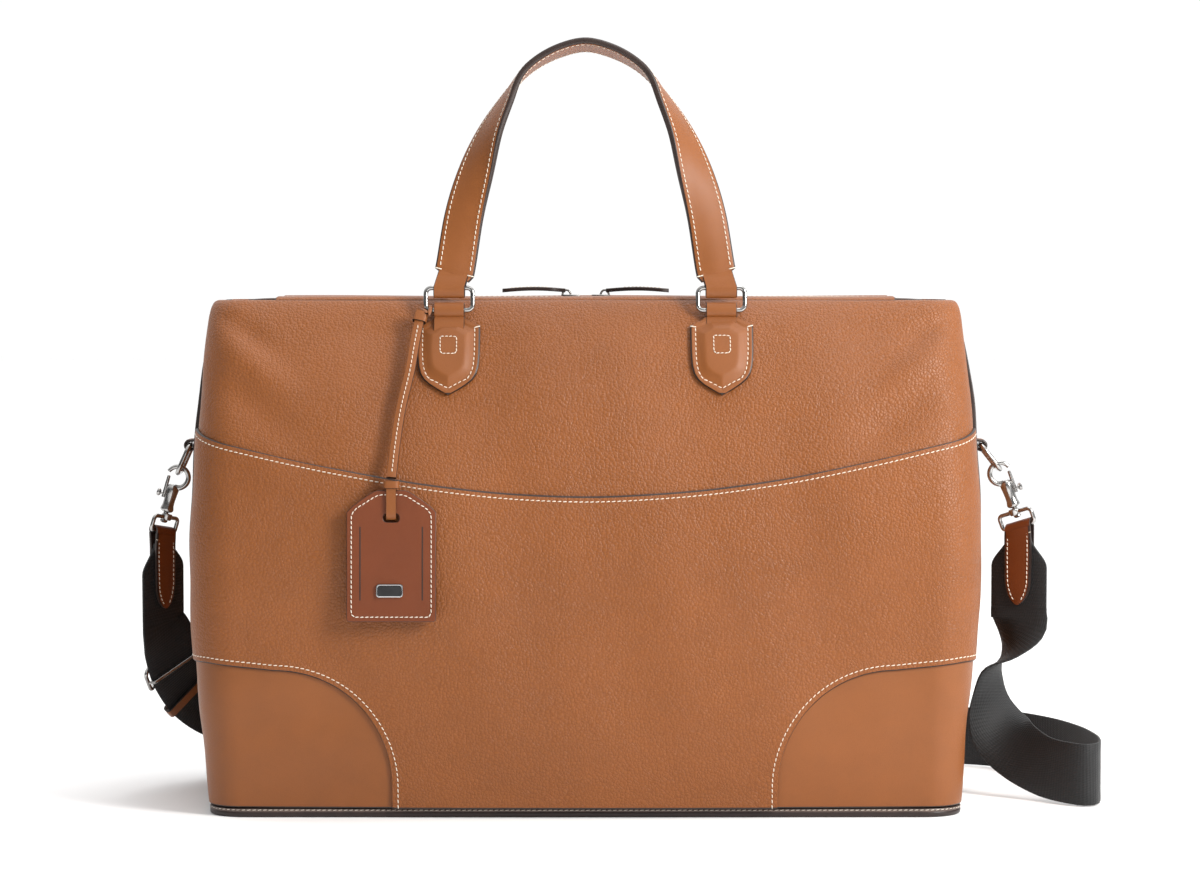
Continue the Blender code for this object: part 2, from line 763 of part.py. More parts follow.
def side_tab(name, side, frame):
    """Leather tab on the side wall, with a loop round the D-ring's upper bar."""
    pin = frame["pin"]
    half = 0.0090
    rows = []
    for z in (0.2740, 0.2600, 0.2460, TAB_PIN[1]):
        row = []
        for y in np.linspace(-half, half, 3):
            s = side_middle(z) + y
            point = shell_point(s, z, -(GAP + 0.0034) + LAYER) if y <= 0 else None
            if point is None:
                point = shell_point(side_middle(z) - y, z, -(GAP + 0.0034) + LAYER)
                point.y = -point.y
            row.append(Vector((point.x * side, point.y, point.z)))
        rows.append(row)
    made = grid(name, rows, SMOOTH, thickness=0.0034, flip=side < 0)
    barrel = rod(name + "_barrel", pin - Vector((0, half, 0)), pin + Vector((0, half, 0)), 0.0040, SMOOTH, TOOLS)
    reach = Vector((0, half + 0.01, 0))
    bore = rod(name + "_bore", pin - reach, pin + reach, 0.0022, SMOOTH, TOOLS, 12)
    skin_x = shell_point(side_middle(TAB_PIN[1]), TAB_PIN[1], LAYER - GAP).x
    low_x, high_x = sorted((side * skin_x, pin.x))
    web = block(name + "_web", (low_x, -half, pin.z - 0.0030), (high_x, half, pin.z + 0.0038), SMOOTH, TOOLS)
    combine(made, web, "UNION")
    combine(made, barrel, "UNION")
    return combine(made, bore, "DIFFERENCE")


def d_ring(name, frame):
    down = (frame["lower"] - frame["pin"]).normalized()
    outline = rounded_outline(D_RING_HALF, D_RING_DROP / 2, 0.0040, steps=3)
    middle = (frame["lower"] + frame["pin"]) / 2
    points = [middle + Vector((0, y, 0)) + down * z for y, z in outline]
    return tube(name, points, D_RING_WIRE, METAL, cyclic=True)


def hook(name, side, frame):
    """Snap hook: an open claw on a barrel with a grooved side, and a headed stem for the swivel."""
    axis, centre = frame["axis"], frame["claw"]
    inward = axis.cross(Vector((0, 1, 0))) * side

    def at(u, w):
        return centre + inward * u + axis * w

    arc = []
    for k in range(15):
        turn = math.radians(90 + 250 * k / 14)
        arc.append(at(CLAW_RADIUS * math.cos(turn), CLAW_RADIUS * math.sin(turn)))
    claw = tube(name + "_claw", arc, CLAW_WIRE, METAL, collection=TOOLS)
    made = rod(name, at(0.0016, 0.0062), at(0.0016, 0.0240), BARREL_RADIUS, METAL)
    stem = rod(name + "_stem", at(0, 0.0230), at(0, 0.0310), 0.0014, METAL, TOOLS, 12)
    head = rod(name + "_head", at(0, 0.0296), at(0, 0.0312), 0.0026, METAL, TOOLS, 12)
    groove = rod(name + "_groove", at(0.0060, 0.0), at(0.0060, 0.0235), 0.0016, METAL, TOOLS, 12)
    for tool in (claw, stem, head):
        combine(made, tool, "UNION")
    slot = block(name + "_slot", (-0.0018, -0.0018, 0.0100), (0.0018, 0.0018, 0.0215), METAL, TOOLS)
    turn = Matrix((inward, axis.cross(inward), axis)).transposed().to_4x4()
    slot.data.transform(Matrix.Translation(at(0.0070, 0.0)) @ turn)
    combine(made, groove, "DIFFERENCE")
    return combine(made, slot, "DIFFERENCE")


def hook_gate(name, side, frame):
    """The hook's bolt with its thumb knob. It slides down the barrel to open the claw."""
    axis, centre = frame["axis"], frame["claw"]
    inward = axis.cross(Vector((0, 1, 0))) * side

    def at(u, w):
        return centre + inward * u + axis * w

    made = rod(name, at(0.0060, 0.0000), at(0.0060, 0.0160), 0.0012, METAL, None, 12)
    neck = rod(name + "_neck", at(0.0060, 0.0125), at(0.0092, 0.0125), 0.0010, METAL, TOOLS, 10)
    knob = rod(name + "_knob", at(0.0088, 0.0125), at(0.0106, 0.0125), 0.0024, METAL, TOOLS, 14)
    combine(made, neck, "UNION")
    return combine(made, knob, "UNION")


def swivel(name, frame, across):
    """Rectangular loop with a boss, which turns on the hook's stem."""
    axis, claw = frame["axis"], frame["claw"]
    top, foot = 0.0270, HOOK_LENGTH
    outline = rounded_outline(SWIVEL_HALF, (foot - top) / 2, 0.0025, steps=3)
    middle = claw + axis * (top + foot) / 2
    points = [middle + across * x + axis * z for x, z in outline]
    made = tube(name, points, 0.0014, METAL, cyclic=True)
    boss = rod(name + "_boss", claw + axis * 0.0252, claw + axis * 0.0288, 0.0034, METAL, TOOLS)
    bore = rod(name + "_bore", claw + axis * 0.02, claw + axis * 0.0295, 0.0018, METAL, TOOLS, 12)
    combine(made, boss, "UNION")
    return combine(made, bore, "DIFFERENCE")


def ribbon(name, path, width, thickness, material, collection=None):
    """Flat strap along (centre, width direction) pairs."""
    rings = []
    for k, (centre, wide) in enumerate(path):
        ahead = path[min(k + 1, len(path) - 1)][0] - path[max(k - 1, 0)][0]
        across = (wide - wide.project(ahead)).normalized()
        face = ahead.cross(across).normalized()
        half, thick = width / 2, thickness / 2
        corners = [(-1, -1), (1, -1), (1, 1), (-1, 1)]
        rings.append([centre + across * half * p + face * thick * q for p, q in corners])
    return loft(name, rings, material, collection)


# the shoulder strap's middle line from the right clip to the left one, in millimetres, each with the
# direction of the strap's width
STRAP_ROUTE = [
    ((285, 0, 124), (0.86, -0.51, 0.0)),
    ((285, 0, 119), (0.86, -0.51, 0.0)),
    ((285, 0, 113), (0.86, -0.51, 0.0)),
    ((279, 2, 97), (0.25, -0.95, 0.0)),
    ((268, 4, 80), (-0.45, -0.88, 0.0)),
    ((268, 1, 58), (-0.50, -0.62, -0.55)),
    ((277, -10, 37), (-0.30, -0.28, -0.91)),
    ((296, -32, 24), (-0.06, -0.05, -1.0)),
    ((316, -54, 21), (0, 0, -1)),
    ((328, -55, 21), (0, 0, -1)),
    ((334, -36, 21), (0, 0, -1)),
    ((335, -5, 21), (0, 0, -1)),
    ((330, 38, 21), (0, 0, -1)),
    ((317, 82, 21), (0, 0, -1)),
    ((294, 120, 21), (0, 0, -1)),
    ((258, 145, 21), (0, 0, -1)),
    ((210, 156, 21), (0, 0, -1)),
    ((150, 160, 21), (0, 0, -1)),
    ((60, 162, 21), (0, 0, -1)),
    ((-30, 162, 21), (0, 0, -1)),
    ((-110, 158, 21), (0.02, 0, -1)),
    ((-170, 148, 23), (0.08, 0, -1)),
    ((-215, 128, 30), (-0.10, -0.10, -1.0)),
    ((-246, 96, 42), (-0.14, -0.32, -0.94)),
    ((-263, 62, 58), (-0.64, -0.40, -0.66)),
    ((-272, 34, 78), (-0.75, -0.40, -0.53)),
    ((-276, 20, 96), (-0.74, -0.45, -0.50)),
    ((-279.2, 10, 110), (-0.571, -0.812, -0.117)),
    ((-279.1, 9, 116), (-0.571, -0.812, -0.117)),
    ((-279, 8, 122), (-0.571, -0.812, -0.117)),
]


def strap_path():
    rows = [(*(0.001 * v for v in centre), *wide) for centre, wide in STRAP_ROUTE]
    made = []
    for row in smooth_line(rows, 3 * (len(rows) - 1) + 1):
        made.append((Vector(row[:3]), Vector(row[3:]).normalized()))
    return made


def strap_end(side, frame, across, hang):
    """Leather end round the swivel's bar, and the webbing's own end between its two layers."""
    name = "left" if side < 0 else "right"
    axis, bar = frame["axis"], frame["bar"]
    down = hang.normalized()
    level = (across - across.project(down)).normalized()
    face = level.cross(down).normalized()
    layer = 0.0018
    offset = layer / 2 + STRAP_THICK / 2 + 0.0003
    shapes = [(0.0020, TONGUE_HALF), (0.0200, TONGUE_HALF), (0.0400, 0.0094), (0.0465, 0.0074)]
    shapes += [(TONGUE_LENGTH, 0.0036)]
    tools = []
    for k, flip in enumerate((-1, 1)):
        rings = []
        for reach, half in shapes:
            blend = min(1.0, reach / 0.02)
            lean = (across * (1 - blend) + level * blend).normalized()
            middle = bar + down * reach + face * flip * (offset + 0.0006 * (1 - blend))
            corners = [(-1, -1), (1, -1), (1, 1), (-1, 1)]
            rings.append([middle + lean * half * p + face * layer / 2 * q for p, q in corners])
        tools.append(loft(f"strap_end_{name}_layer_{k}", rings, SMOOTH, TOOLS))
    ends = (bar - across * TONGUE_HALF, bar + across * TONGUE_HALF)
    made = rod(f"strap_end_{name}", *ends, 0.0040, SMOOTH)
    longer = (bar - across * 0.02, bar + across * 0.02)
    bore = rod(f"strap_end_{name}_bore", *longer, 0.0019, SMOOTH, TOOLS, 12)
    for tool in tools:
        combine(made, tool, "UNION")
    combine(made, bore, "DIFFERENCE")
    return made


def strap_stub(side, frame, across, first, name):
    """The webbing sewn into the leather end, down to where the free strap begins."""
    start = first[0]
    down = (start - frame["bar"]).normalized()
    level = (across - across.project(down)).normalized()
    face = level.cross(down).normalized()
    top = frame["bar"] + down * 0.0070
    rings = []
    for k in range(5):
        centre = top.lerp(start - down * 0.0010, k / 4)
        narrow = TONGUE_HALF * 0.9
        half = narrow + (STRAP_WIDTH / 2 - narrow) * min(1.0, k / 2)
        thick = STRAP_THICK / 2
        corners = [(-1, -1), (1, -1), (1, 1), (-1, 1)]
        rings.append([centre + level * half * p + face * thick * q for p, q in corners])
    return loft(name, rings, WEBBING)


def strap_place(path, index):
    """Frame on the strap: x along its width, y along its length, z out of its face."""
    centre, wide = path[index]
    ahead = (path[index + 1][0] - path[index - 1][0]).normalized()
    across = (wide - wide.project(ahead)).normalized()
    turn = Matrix((across, ahead, across.cross(ahead))).transposed().to_4x4()
    return Matrix.Translation(centre) @ turn


def strap_adjuster(path, index):
    """Slide buckle: two rails beside the strap, its end bars over the strap and its middle bar under."""
    place = strap_place(path, index)
    half = STRAP_WIDTH / 2
    low, high, bar = 0.0021, 0.0038, 0.0035
    blocks = []
    for sign in (-1, 1):
        x_low, x_high = sorted((sign * (half + 0.0012), sign * (half + 0.0044)))
        blocks.append(((x_low, -0.0095, -high), (x_high, 0.0095, high)))
    for sign in (-1, 1):
        y_low, y_high = sorted((sign * 0.0066, sign * 0.0091))
        blocks.append(((-half - 0.003, y_low, low), (half + 0.003, y_high, bar)))
    blocks.append(((-half - 0.003, -0.0016, -bar), (half + 0.003, 0.0016, -low)))
    made = block("strap_adjuster", *blocks[0], METAL)
    made.data.transform(place)
    for k, (start, end) in enumerate(blocks[1:]):
        tool = block(f"strap_adjuster_bar_{k}", start, end, METAL, TOOLS)
        tool.data.transform(place)
        combine(made, tool, "UNION")
    return made


def strap_keeper(path, index):
    """Leather band round the strap next to its adjuster."""
    half = STRAP_WIDTH / 2
    outer = rounded_outline(half + 0.0026, 0.0042, 0.0020, steps=3)
    hole = rounded_outline(half + 0.0008, 0.0024, 0.0010, steps=2)
    lay = Matrix.Rotation(math.radians(90), 4, "X")
    return plate("strap_keeper", [outer, hole], 0.0080, strap_place(path, index) @ lay, SMOOTH)


# ---- luggage tag ---------------------------------------------------------------------------------------


def tag_frame():
    """Where the tag's own flat frame stands: x across, y up, z out of its face."""
    x, z = TAG_TOP
    skin = shell_point(x, z - 0.02)
    lean = math.radians(3.5)
    up = Vector((0, math.sin(lean), math.cos(lean)))
    face = Vector((0, -math.cos(lean), math.sin(lean)))
    top = Vector((x, skin.y - 0.0075, z))
    matrix = Matrix((Vector((1, 0, 0)), up, face)).transposed().to_4x4()
    return Matrix.Translation(top) @ matrix


def tag_outline(inset=0.0):
    half, foot = TAG_WIDTH / 2 - inset, -TAG_HEIGHT + inset
    top, shoulder = -0.0012 - inset, -0.0140 - inset * 0.6
    arch = 0.0115 - inset * 0.4
    made = [(half - 0.003, foot), (half, foot + 0.003), (half - 0.001, shoulder - 0.002)]
    made += [(half - 0.004, shoulder + 0.002), (arch + 0.004, top - 0.0015), (arch - 0.002, top)]
    return made + [(-x, y) for x, y in made[::-1]]


def tag_parts():
    frame = tag_frame()
    slot = rounded_outline(0.0050, 0.0026, 0.0020, steps=3, centre=(0.0, -0.0185))
    made = []
    for name, level, inset in (("tag_front", 1, 0.0), ("tag_back", -1, 0.0)):
        offset = level * (TAG_LEATHER / 2 + 0.0002)
        place = frame @ Matrix.Translation((0, 0, offset))
        made.append(plate(name, [tag_outline(inset), slot], TAG_LEATHER, place, SMOOTH))
    lift = TAG_LEATHER + 0.0002 + 0.0003
    badge = plate(
        "tag_badge",
        [rounded_outline(0.0085, 0.0042, 0.0018, steps=3, centre=(-0.0010, -0.0640))],
        0.0016,
        frame @ Matrix.Translation((0, 0, lift + 0.0008)),
        ENAMEL,
    )
    made.append(badge)
    made.append(tag_loop(frame))
    return made


def tag_loop(frame):
    """Lower end of the tag's strap: down the tag's face, through its slot and up its back."""
    out = TAG_LEATHER + 0.0002 + 0.0016
    line = [(-out, 0.0024), (-out, -0.0150), (-out * 0.7, -0.0180), (0.0, -0.0190)]
    line += [(out * 0.7, -0.0180), (out, -0.0150), (out, 0.0024)]
    rings = []
    half, thick = 0.0030, 0.0007
    for k, (z, y) in enumerate(line):
        a, b = line[max(k - 1, 0)], line[min(k + 1, len(line) - 1)]
        along = Vector((b[0] - a[0], b[1] - a[1])).normalized()
        normal = (along.y, -along.x)
        corners = [(-1, -1), (1, -1), (1, 1), (-1, 1)]
        ring = [Vector((half * p, y + normal[1] * thick * q, z + normal[0] * thick * q)) for p, q in corners]
        rings.append([frame @ point for point in ring])
    made = loft("tag_loop", rings, SMOOTH)
    low = Vector((-0.0040, 0.0, -out - 0.0016))
    high = Vector((0.0040, 0.0048, out + 0.0016))
    keeper = block("tag_keeper_block", low, high, SMOOTH, TOOLS)
    keeper.data.transform(frame)
    return combine(made, keeper, "UNION")


def tag_strap():
    """Doubled strap from the ring's lower bar, over the front, to the tag."""
    y, z = bar_point()
    x = -HANDLE_X - (NECK_HALF + RING_HALF_WIDTH - RING_WIRE) / 2
    width = 0.0025
    frame = tag_frame()
    end = frame @ Vector((0, 0.0066, 0))
    rings = []
    stations = [(x, 0.3100), (-0.1050, 0.2960), (-0.1110, 0.2780), (-0.1160, 0.2560), (-0.1190, 0.2340)]
    points = []
    for px, pz in stations:
        base_point = shell_point(px, pz, -0.0068)
        points.append(base_point)
    points.insert(1, shell_point(-0.1020, 0.3085, -0.0076))
    points[0] = Vector((x, y - 0.0032, z - 0.0014))
    points.append(end)
    line = smooth_line(points, 16)
    for k, centre in enumerate(line):
        centre = Vector(centre)
        ahead = Vector(line[min(k + 1, len(line) - 1)]) - Vector(line[max(k - 1, 0)])
        across = Vector((1, 0, 0))
        across = (across - across.project(ahead)).normalized()
        face = ahead.cross(across).normalized()
        half = width / 2 + (TAG_STRAP_WIDTH / 2 - width / 2) * min(1.0, k / 6)
        thick = TAG_STRAP_THICK / 2
        corners = [(-1, -1), (1, -1), (1, 1), (-1, 1)]
        rings.append([centre + across * half * p + face * thick * q for p, q in corners])
    made = loft("tag_strap", rings, SMOOTH)
    eye = rod("tag_strap_eye", (x - width / 2, y, z), (x + width / 2, y, z), 0.0036, SMOOTH, TOOLS)
    bore = rod("tag_strap_bore", (x - 0.01, y, z), (x + 0.01, y, z), 0.0022, SMOOTH, TOOLS, 12)
    combine(made, eye, "UNION")
    combine(made, bore, "DIFFERENCE")
    return made


# ---- put it together -----------------------------------------------------------------------------------


def build_body():
    base()
    front_lower("front_lower_panel", False)
    front_lower("back_lower_panel", True)
    front_upper("front_upper_panel", False)
    front_upper("back_upper_panel", True)
    for name, side in (("left", -1), ("right", 1)):
        corner_boot(f"corner_boot_{name}", side)
        gusset(f"gusset_{name}", side)
        zip_end(f"zip_end_{name}", side)
    lining()


def build_top():
    for name, back in (("front", False), ("back", True)):
        pieces = [top_flap(f"top_flap_{name}", back), *zip_side(name, back)]
        hang_on(pieces, f"mouth_{name}_axis", (0, FOLD_Y if back else -FOLD_Y, TOP_Z))
    for name, side in (("left", -1), ("right", 1)):
        slider = zip_slider(f"zip_slider_{name}", side)
        pull = zip_pull(f"zip_pull_{name}", side)
        pin_x = side * (SLIDER_AT + 0.0030)
        hang_on([slider], f"slider_{name}_place", (side * SLIDER_AT, 0, TOP_Z))
        hang_on([pull], f"pull_{name}_axis", (pin_x, 0, PULL_PIN_Z))


def build_handles():
    y, z = bar_point()
    for name, back, ring_tilt, handle_tilt in (
        ("front", False, RING_TILT, HANDLE_TILT),
        ("rear", True, REAR_RING_TILT, REAR_HANDLE_TILT),
    ):
        lower = Vector((0, -y if back else y, z))
        upper = lower + tilted(ring_tilt, back) * RING_HEIGHT
        rings = []
        for side_name, side in (("left", -1), ("right", 1)):
            chape(f"chape_{name}_{side_name}", side, back)
            rings.append(handle_ring(f"ring_{name}_{side_name}", side, ring_tilt, lower))
        hang_on(rings, f"rings_{name}_axis", lower)
        hang_on([handle(f"handle_{name}", handle_tilt, upper)], f"handle_{name}_axis", upper)


def build_strap():
    path = strap_path()
    clips = {
        "right": (1, 38.0, 20.0, (0.814, -0.500, 0.296)),
        "left": (-1, 24.0, 16.0, (-0.550, -0.830, 0.160)),
    }
    for name, (side, d_tilt, hook_tilt, across) in clips.items():
        frame = clip_frame(side, d_tilt, hook_tilt)
        across = Vector(across)
        across = (across - across.project(frame["axis"])).normalized()
        first = path[0] if side > 0 else (path[-1][0], path[-1][1])
        side_tab(f"side_tab_{name}", side, frame)
        hang_on([d_ring(f"d_ring_{name}", frame)], f"d_ring_{name}_axis", frame["pin"])
        ends = [swivel(f"swivel_{name}", frame, across)]
        ends.append(strap_end(side, frame, across, first[0] - frame["bar"]))
        ends.append(strap_stub(side, frame, across, first, f"strap_stub_{name}"))
        hang_on(ends, f"clip_{name}_axis", frame["pin"])
        hang_on([hook(f"hook_{name}", side, frame)], f"hook_{name}_axis", frame["claw"])
        hang_on([hook_gate(f"hook_gate_{name}", side, frame)], f"gate_{name}_place", frame["claw"])
    ribbon("shoulder_strap", path, STRAP_WIDTH, STRAP_THICK, WEBBING)
    strap_adjuster(path, len(path) - 12)
    strap_keeper(path, len(path) - 15)


def build_tag():
    hang_on([tag_strap()], "tag_strap_axis", (-HANDLE_X - RING_HALF_WIDTH, *bar_point()))
    hang_on(tag_parts(), "tag_axis", tag_frame().translation)


build_body()
build_top()
build_handles()
build_strap()
build_tag()
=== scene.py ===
"""Looks of the leather weekender bag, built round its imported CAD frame.

Everything is in metres in the CAD's frame: +X right, +Y back, +Z up, origin under the middle of the base.
The leather lies on one surface, bag_surface(s, z): z is height, s is the distance round the bag from the
middle of its front. Depth is how far a layer lies below that surface.
"""

import math

import bmesh
import bpy
import numpy as np
from mathutils import Matrix, Vector


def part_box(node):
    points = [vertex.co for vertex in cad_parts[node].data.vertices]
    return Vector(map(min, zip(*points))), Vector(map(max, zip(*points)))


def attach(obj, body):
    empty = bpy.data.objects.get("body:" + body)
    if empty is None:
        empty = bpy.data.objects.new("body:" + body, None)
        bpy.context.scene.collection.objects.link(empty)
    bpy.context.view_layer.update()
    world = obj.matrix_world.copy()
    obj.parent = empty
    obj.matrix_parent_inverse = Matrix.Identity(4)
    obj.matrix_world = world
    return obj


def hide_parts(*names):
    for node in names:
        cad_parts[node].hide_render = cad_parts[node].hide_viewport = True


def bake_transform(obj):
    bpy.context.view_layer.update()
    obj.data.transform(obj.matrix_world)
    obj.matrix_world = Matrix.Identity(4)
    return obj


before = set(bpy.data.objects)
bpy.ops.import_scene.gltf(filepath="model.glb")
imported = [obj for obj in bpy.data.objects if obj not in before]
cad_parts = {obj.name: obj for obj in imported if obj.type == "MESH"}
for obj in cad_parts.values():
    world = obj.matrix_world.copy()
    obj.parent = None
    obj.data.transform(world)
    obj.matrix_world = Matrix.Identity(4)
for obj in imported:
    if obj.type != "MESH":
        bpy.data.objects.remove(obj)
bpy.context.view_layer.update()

# ---- sizes ---------------------------------------------------------------------------------------------

# height, half-width, half-depth and corner radius of the bag's outside
SECTIONS = np.array(
    [
        (0.0000, 0.2395, 0.1020, 0.024),
        (0.0100, 0.2415, 0.1035, 0.025),
        (0.0500, 0.2445, 0.1065, 0.028),
        (0.1000, 0.2482, 0.1078, 0.030),
        (0.1650, 0.2508, 0.1065, 0.030),
        (0.2050, 0.2505, 0.1005, 0.029),
        (0.2450, 0.2495, 0.0895, 0.028),
        (0.2850, 0.2475, 0.0740, 0.026),
        (0.3100, 0.2450, 0.0615, 0.024),
        (0.3180, 0.2440, 0.0565, 0.023),
        (0.3235, 0.2425, 0.0520, 0.022),
        (0.3268, 0.2398, 0.0480, 0.021),
        (0.3282, 0.2345, 0.0440, 0.020),
    ]
)
TOP_Z = 0.3282
FRONT_PUFF = 0.0045
SIDE_PUFF = 0.0030
PANEL_FOOT = 0.0059

LEATHER = 0.0017
PROUD = -0.0006  # depth of the pebbled lower panel, which laps over its neighbours
UNDER = 0.0012  # depth of the upper panel and the corner pieces
GUSSET_DEPTH = 0.0028
LINING_DEPTH = 0.0062

SEAM_LOW, SEAM_RISE, SEAM_HALF = 0.2036, 0.0410, 0.2600
BOOT_INNER, BOOT_RADIUS, BOOT_CURVE_FOOT, BOOT_TOP_SIDE = 0.1215, 0.0735, 0.0200, 0.0980
SIDE_LAP = 0.004

STITCH_PITCH = 0.0034
STITCH_LENGTH = 0.0026
STITCH_RADIUS = 0.00032
STITCH_INSET = 0.0036  # from a painted edge to its row of stitches

FLAP_HALF = 0.2000
HANDLE_X = 0.0870
NECK_HALF = 0.0098
RING_HALF_WIDTH, RING_HEIGHT, RING_WIRE = 0.0150, 0.0145, 0.0015
FRONT_TILT, REAR_RING_TILT, REAR_HANDLE_TILT = 10.0, 131.0, 150.0
BAR_Y, BAR_Z = 0.06071, 0.31992
HANDLE_HALF, HANDLE_THICK = 0.0128, 0.0042
# half-spread and height of the handle's middle line above its rings, and its twist in degrees
HANDLE_ARCH = [
    (0.0870, 0.0035, 0),
    (0.0835, 0.0110, 0),
    (0.0780, 0.0454, 10),
    (0.0714, 0.0716, 25),
    (0.0624, 0.0993, 50),
    (0.0514, 0.1218, 69),
    (0.0425, 0.1370, 84),
    (0.0320, 0.1470, 88),
    (0.0170, 0.1550, 90),
    (0.0000, 0.1590, 90),
]
STRAP_WIDTH, STRAP_THICK = 0.0400, 0.0018
TAG_HALF, TAG_HEIGHT = 0.0280, 0.0835
TAG_TOP = Vector((-0.1212, -0.11421, 0.2090))

# ---- materials -----------------------------------------------------------------------------------------


class Nodes:
    """Short calls for building a material's node tree."""

    def __init__(self, name):
        self.material = bpy.data.materials.new(name)
        self.material.use_nodes = True
        self.tree = self.material.node_tree
        self.shader = self.tree.nodes["Principled BSDF"]

    def add(self, kind, **values):
        node = self.tree.nodes.new(kind)
        for key, value in values.items():
            if key in node.inputs:
                node.inputs[key].default_value = value
            else:
                setattr(node, key, value)
        return node

    def link(self, start, end):
        self.tree.links.new(start, end)
        return end.node

    def place(self):
        return self.add("ShaderNodeTexCoord").outputs["Object"]

    def noise(self, scale, detail=3.0, roughness=0.5, vector=None, stretch=None):
        node = self.add("ShaderNodeTexNoise", Scale=scale, Detail=detail, Roughness=roughness)
        source = vector or self.place()
        if stretch:
            mapping = self.add("ShaderNodeMapping", Scale=stretch)
            self.link(source, mapping.inputs["Vector"])
            source = mapping.outputs["Vector"]
        self.link(source, node.inputs["Vector"])
        return node.outputs["Fac"]

    def ramp(self, factor, stops):
        node = self.add("ShaderNodeValToRGB")
        band = node.color_ramp
        while len(band.elements) < len(stops):
            band.elements.new(0.5)
        for element, (at, colour) in zip(band.elements, stops):
            element.position = at
            element.color = (*colour, 1.0) if len(colour) == 3 else colour
        self.link(factor, node.inputs["Fac"])
        return node.outputs["Color"]

    def grey(self, factor, low, high, start=0.0, end=1.0):
        node = self.add("ShaderNodeMapRange")
        for key, value in (("From Min", start), ("From Max", end), ("To Min", low), ("To Max", high)):
            node.inputs[key].default_value = value
        self.link(factor, node.inputs["Value"])
        return node.outputs["Result"]

    def maths(self, operation, a, b):
        node = self.add("ShaderNodeMath", operation=operation)
        for socket, value in zip(node.inputs, (a, b)):
            if isinstance(value, (int, float)):
                socket.default_value = value
            else:
                self.link(value, socket)
        return node.outputs["Value"]

    def bump(self, height, strength, distance, under=None):
        node = self.add("ShaderNodeBump", Strength=strength, Distance=distance)
        self.link(height, node.inputs["Height"])
        if under is not None:
            self.link(under, node.inputs["Normal"])
        return node.outputs["Normal"]


def shade(colour, amount):
    return tuple(min(1.0, c * amount) for c in colour)


def leather(name, colour, roughness, pebble_scale, pebble_depth, coat=0.0):
    """Dyed leather: pebbles or pores, slow variation of the dye, painted shade in the creases between the
    pebbles, and a rough sheen that follows both.
    """
    n = Nodes(name)
    at = n.place()
    wobble = n.add("ShaderNodeTexNoise", Scale=pebble_scale * 0.35, Detail=2.0)
    n.link(at, wobble.inputs["Vector"])
    shift = n.add("ShaderNodeVectorMath", operation="MULTIPLY_ADD")
    n.link(wobble.outputs["Color"], shift.inputs[0])
    shift.inputs[1].default_value = (1.1 / pebble_scale,) * 3
    n.link(at, shift.inputs[2])
    dome = n.add("ShaderNodeTexVoronoi", feature="F1", Scale=pebble_scale, Randomness=0.95)
    crease = n.add("ShaderNodeTexVoronoi", feature="DISTANCE_TO_EDGE", Scale=pebble_scale, Randomness=0.95)
    for cells in (dome, crease):
        n.link(shift.outputs["Vector"], cells.inputs["Vector"])
    pebble = n.grey(dome.outputs["Distance"], 1.0, 0.0, 0.0, 0.9)
    valley = n.grey(crease.outputs["Distance"], 0.0, 1.0, 0.0, 0.16)
    pores = n.noise(pebble_scale * 3.1, 2.0, 0.6, at)
    slow = n.noise(9.0, 3.0, 0.55, at)
    blotch = n.noise(55.0, 4.0, 0.6, at)
    mixed = n.maths("ADD", n.maths("MULTIPLY", slow, 0.62), n.maths("MULTIPLY", blotch, 0.38))
    dye = n.ramp(mixed, [(0.33, shade(colour, 0.91)), (0.50, colour), (0.68, shade(colour, 1.08))])
    # painted shade: the dye is multiplied darker where valley is near 0, in the creases between pebbles
    valley_shade = n.add("ShaderNodeMix", data_type="RGBA", blend_type="MULTIPLY")
    valley_shade.inputs["Factor"].default_value = 1.0
    n.link(dye, valley_shade.inputs[6])
    n.link(n.ramp(valley, [(0.0, (0.86, 0.83, 0.80)), (0.6, (1.0, 1.0, 1.0))]), valley_shade.inputs[7])
    n.link(valley_shade.outputs[2], n.shader.inputs["Base Color"])
    n.link(n.grey(mixed, roughness - 0.05, roughness + 0.07, 0.3, 0.7), n.shader.inputs["Roughness"])
    height = n.maths("ADD", n.maths("MULTIPLY", pebble, 0.7), n.maths("MULTIPLY", valley, 0.35))
    height = n.maths("ADD", height, n.maths("MULTIPLY", pores, 0.18))
    n.link(n.bump(height, 1.0, pebble_depth), n.shader.inputs["Normal"])
    n.shader.inputs["Specular IOR Level"].default_value = 0.40
    n.shader.inputs["Coat Weight"].default_value = coat
    n.shader.inputs["Coat Roughness"].default_value = 0.35
    return n.material


def painted_edge(name, colour):
    n = Nodes(name)
    at = n.place()
    slow = n.noise(160.0, 3.0, 0.6, at)
    n.link(
        n.ramp(slow, [(0.3, shade(colour, 0.8)), (0.7, shade(colour, 1.3))]), n.shader.inputs["Base Color"]
    )
    n.link(n.grey(slow, 0.36, 0.52), n.shader.inputs["Roughness"])
    n.link(n.bump(n.noise(900.0, 2.0, 0.5, at), 0.5, 0.00012), n.shader.inputs["Normal"])
    return n.material


def thread(name, colour):
    n = Nodes(name)
    at = n.place()
    fibre = n.noise(2600.0, 2.0, 0.6, at)
    n.link(n.ramp(fibre, [(0.3, shade(colour, 0.80)), (0.65, colour)]), n.shader.inputs["Base Color"])
    n.link(n.bump(fibre, 0.5, 0.00008), n.shader.inputs["Normal"])
    n.shader.inputs["Roughness"].default_value = 0.7
    n.shader.inputs["Sheen Weight"].default_value = 0.3
    return n.material


def metal(name, colour, roughness):
    n = Nodes(name)
    at = n.place()
    wear = n.noise(420.0, 4.0, 0.65, at)
    n.link(n.ramp(wear, [(0.3, shade(colour, 0.93)), (0.7, colour)]), n.shader.inputs["Base Color"])
    n.link(n.grey(wear, roughness * 0.7, roughness * 1.7, 0.3, 0.7), n.shader.inputs["Roughness"])
    n.link(n.bump(n.noise(3000.0, 2.0, 0.5, at), 0.08, 0.00004), n.shader.inputs["Normal"])
    n.shader.inputs["Metallic"].default_value = 1.0
    return n.material


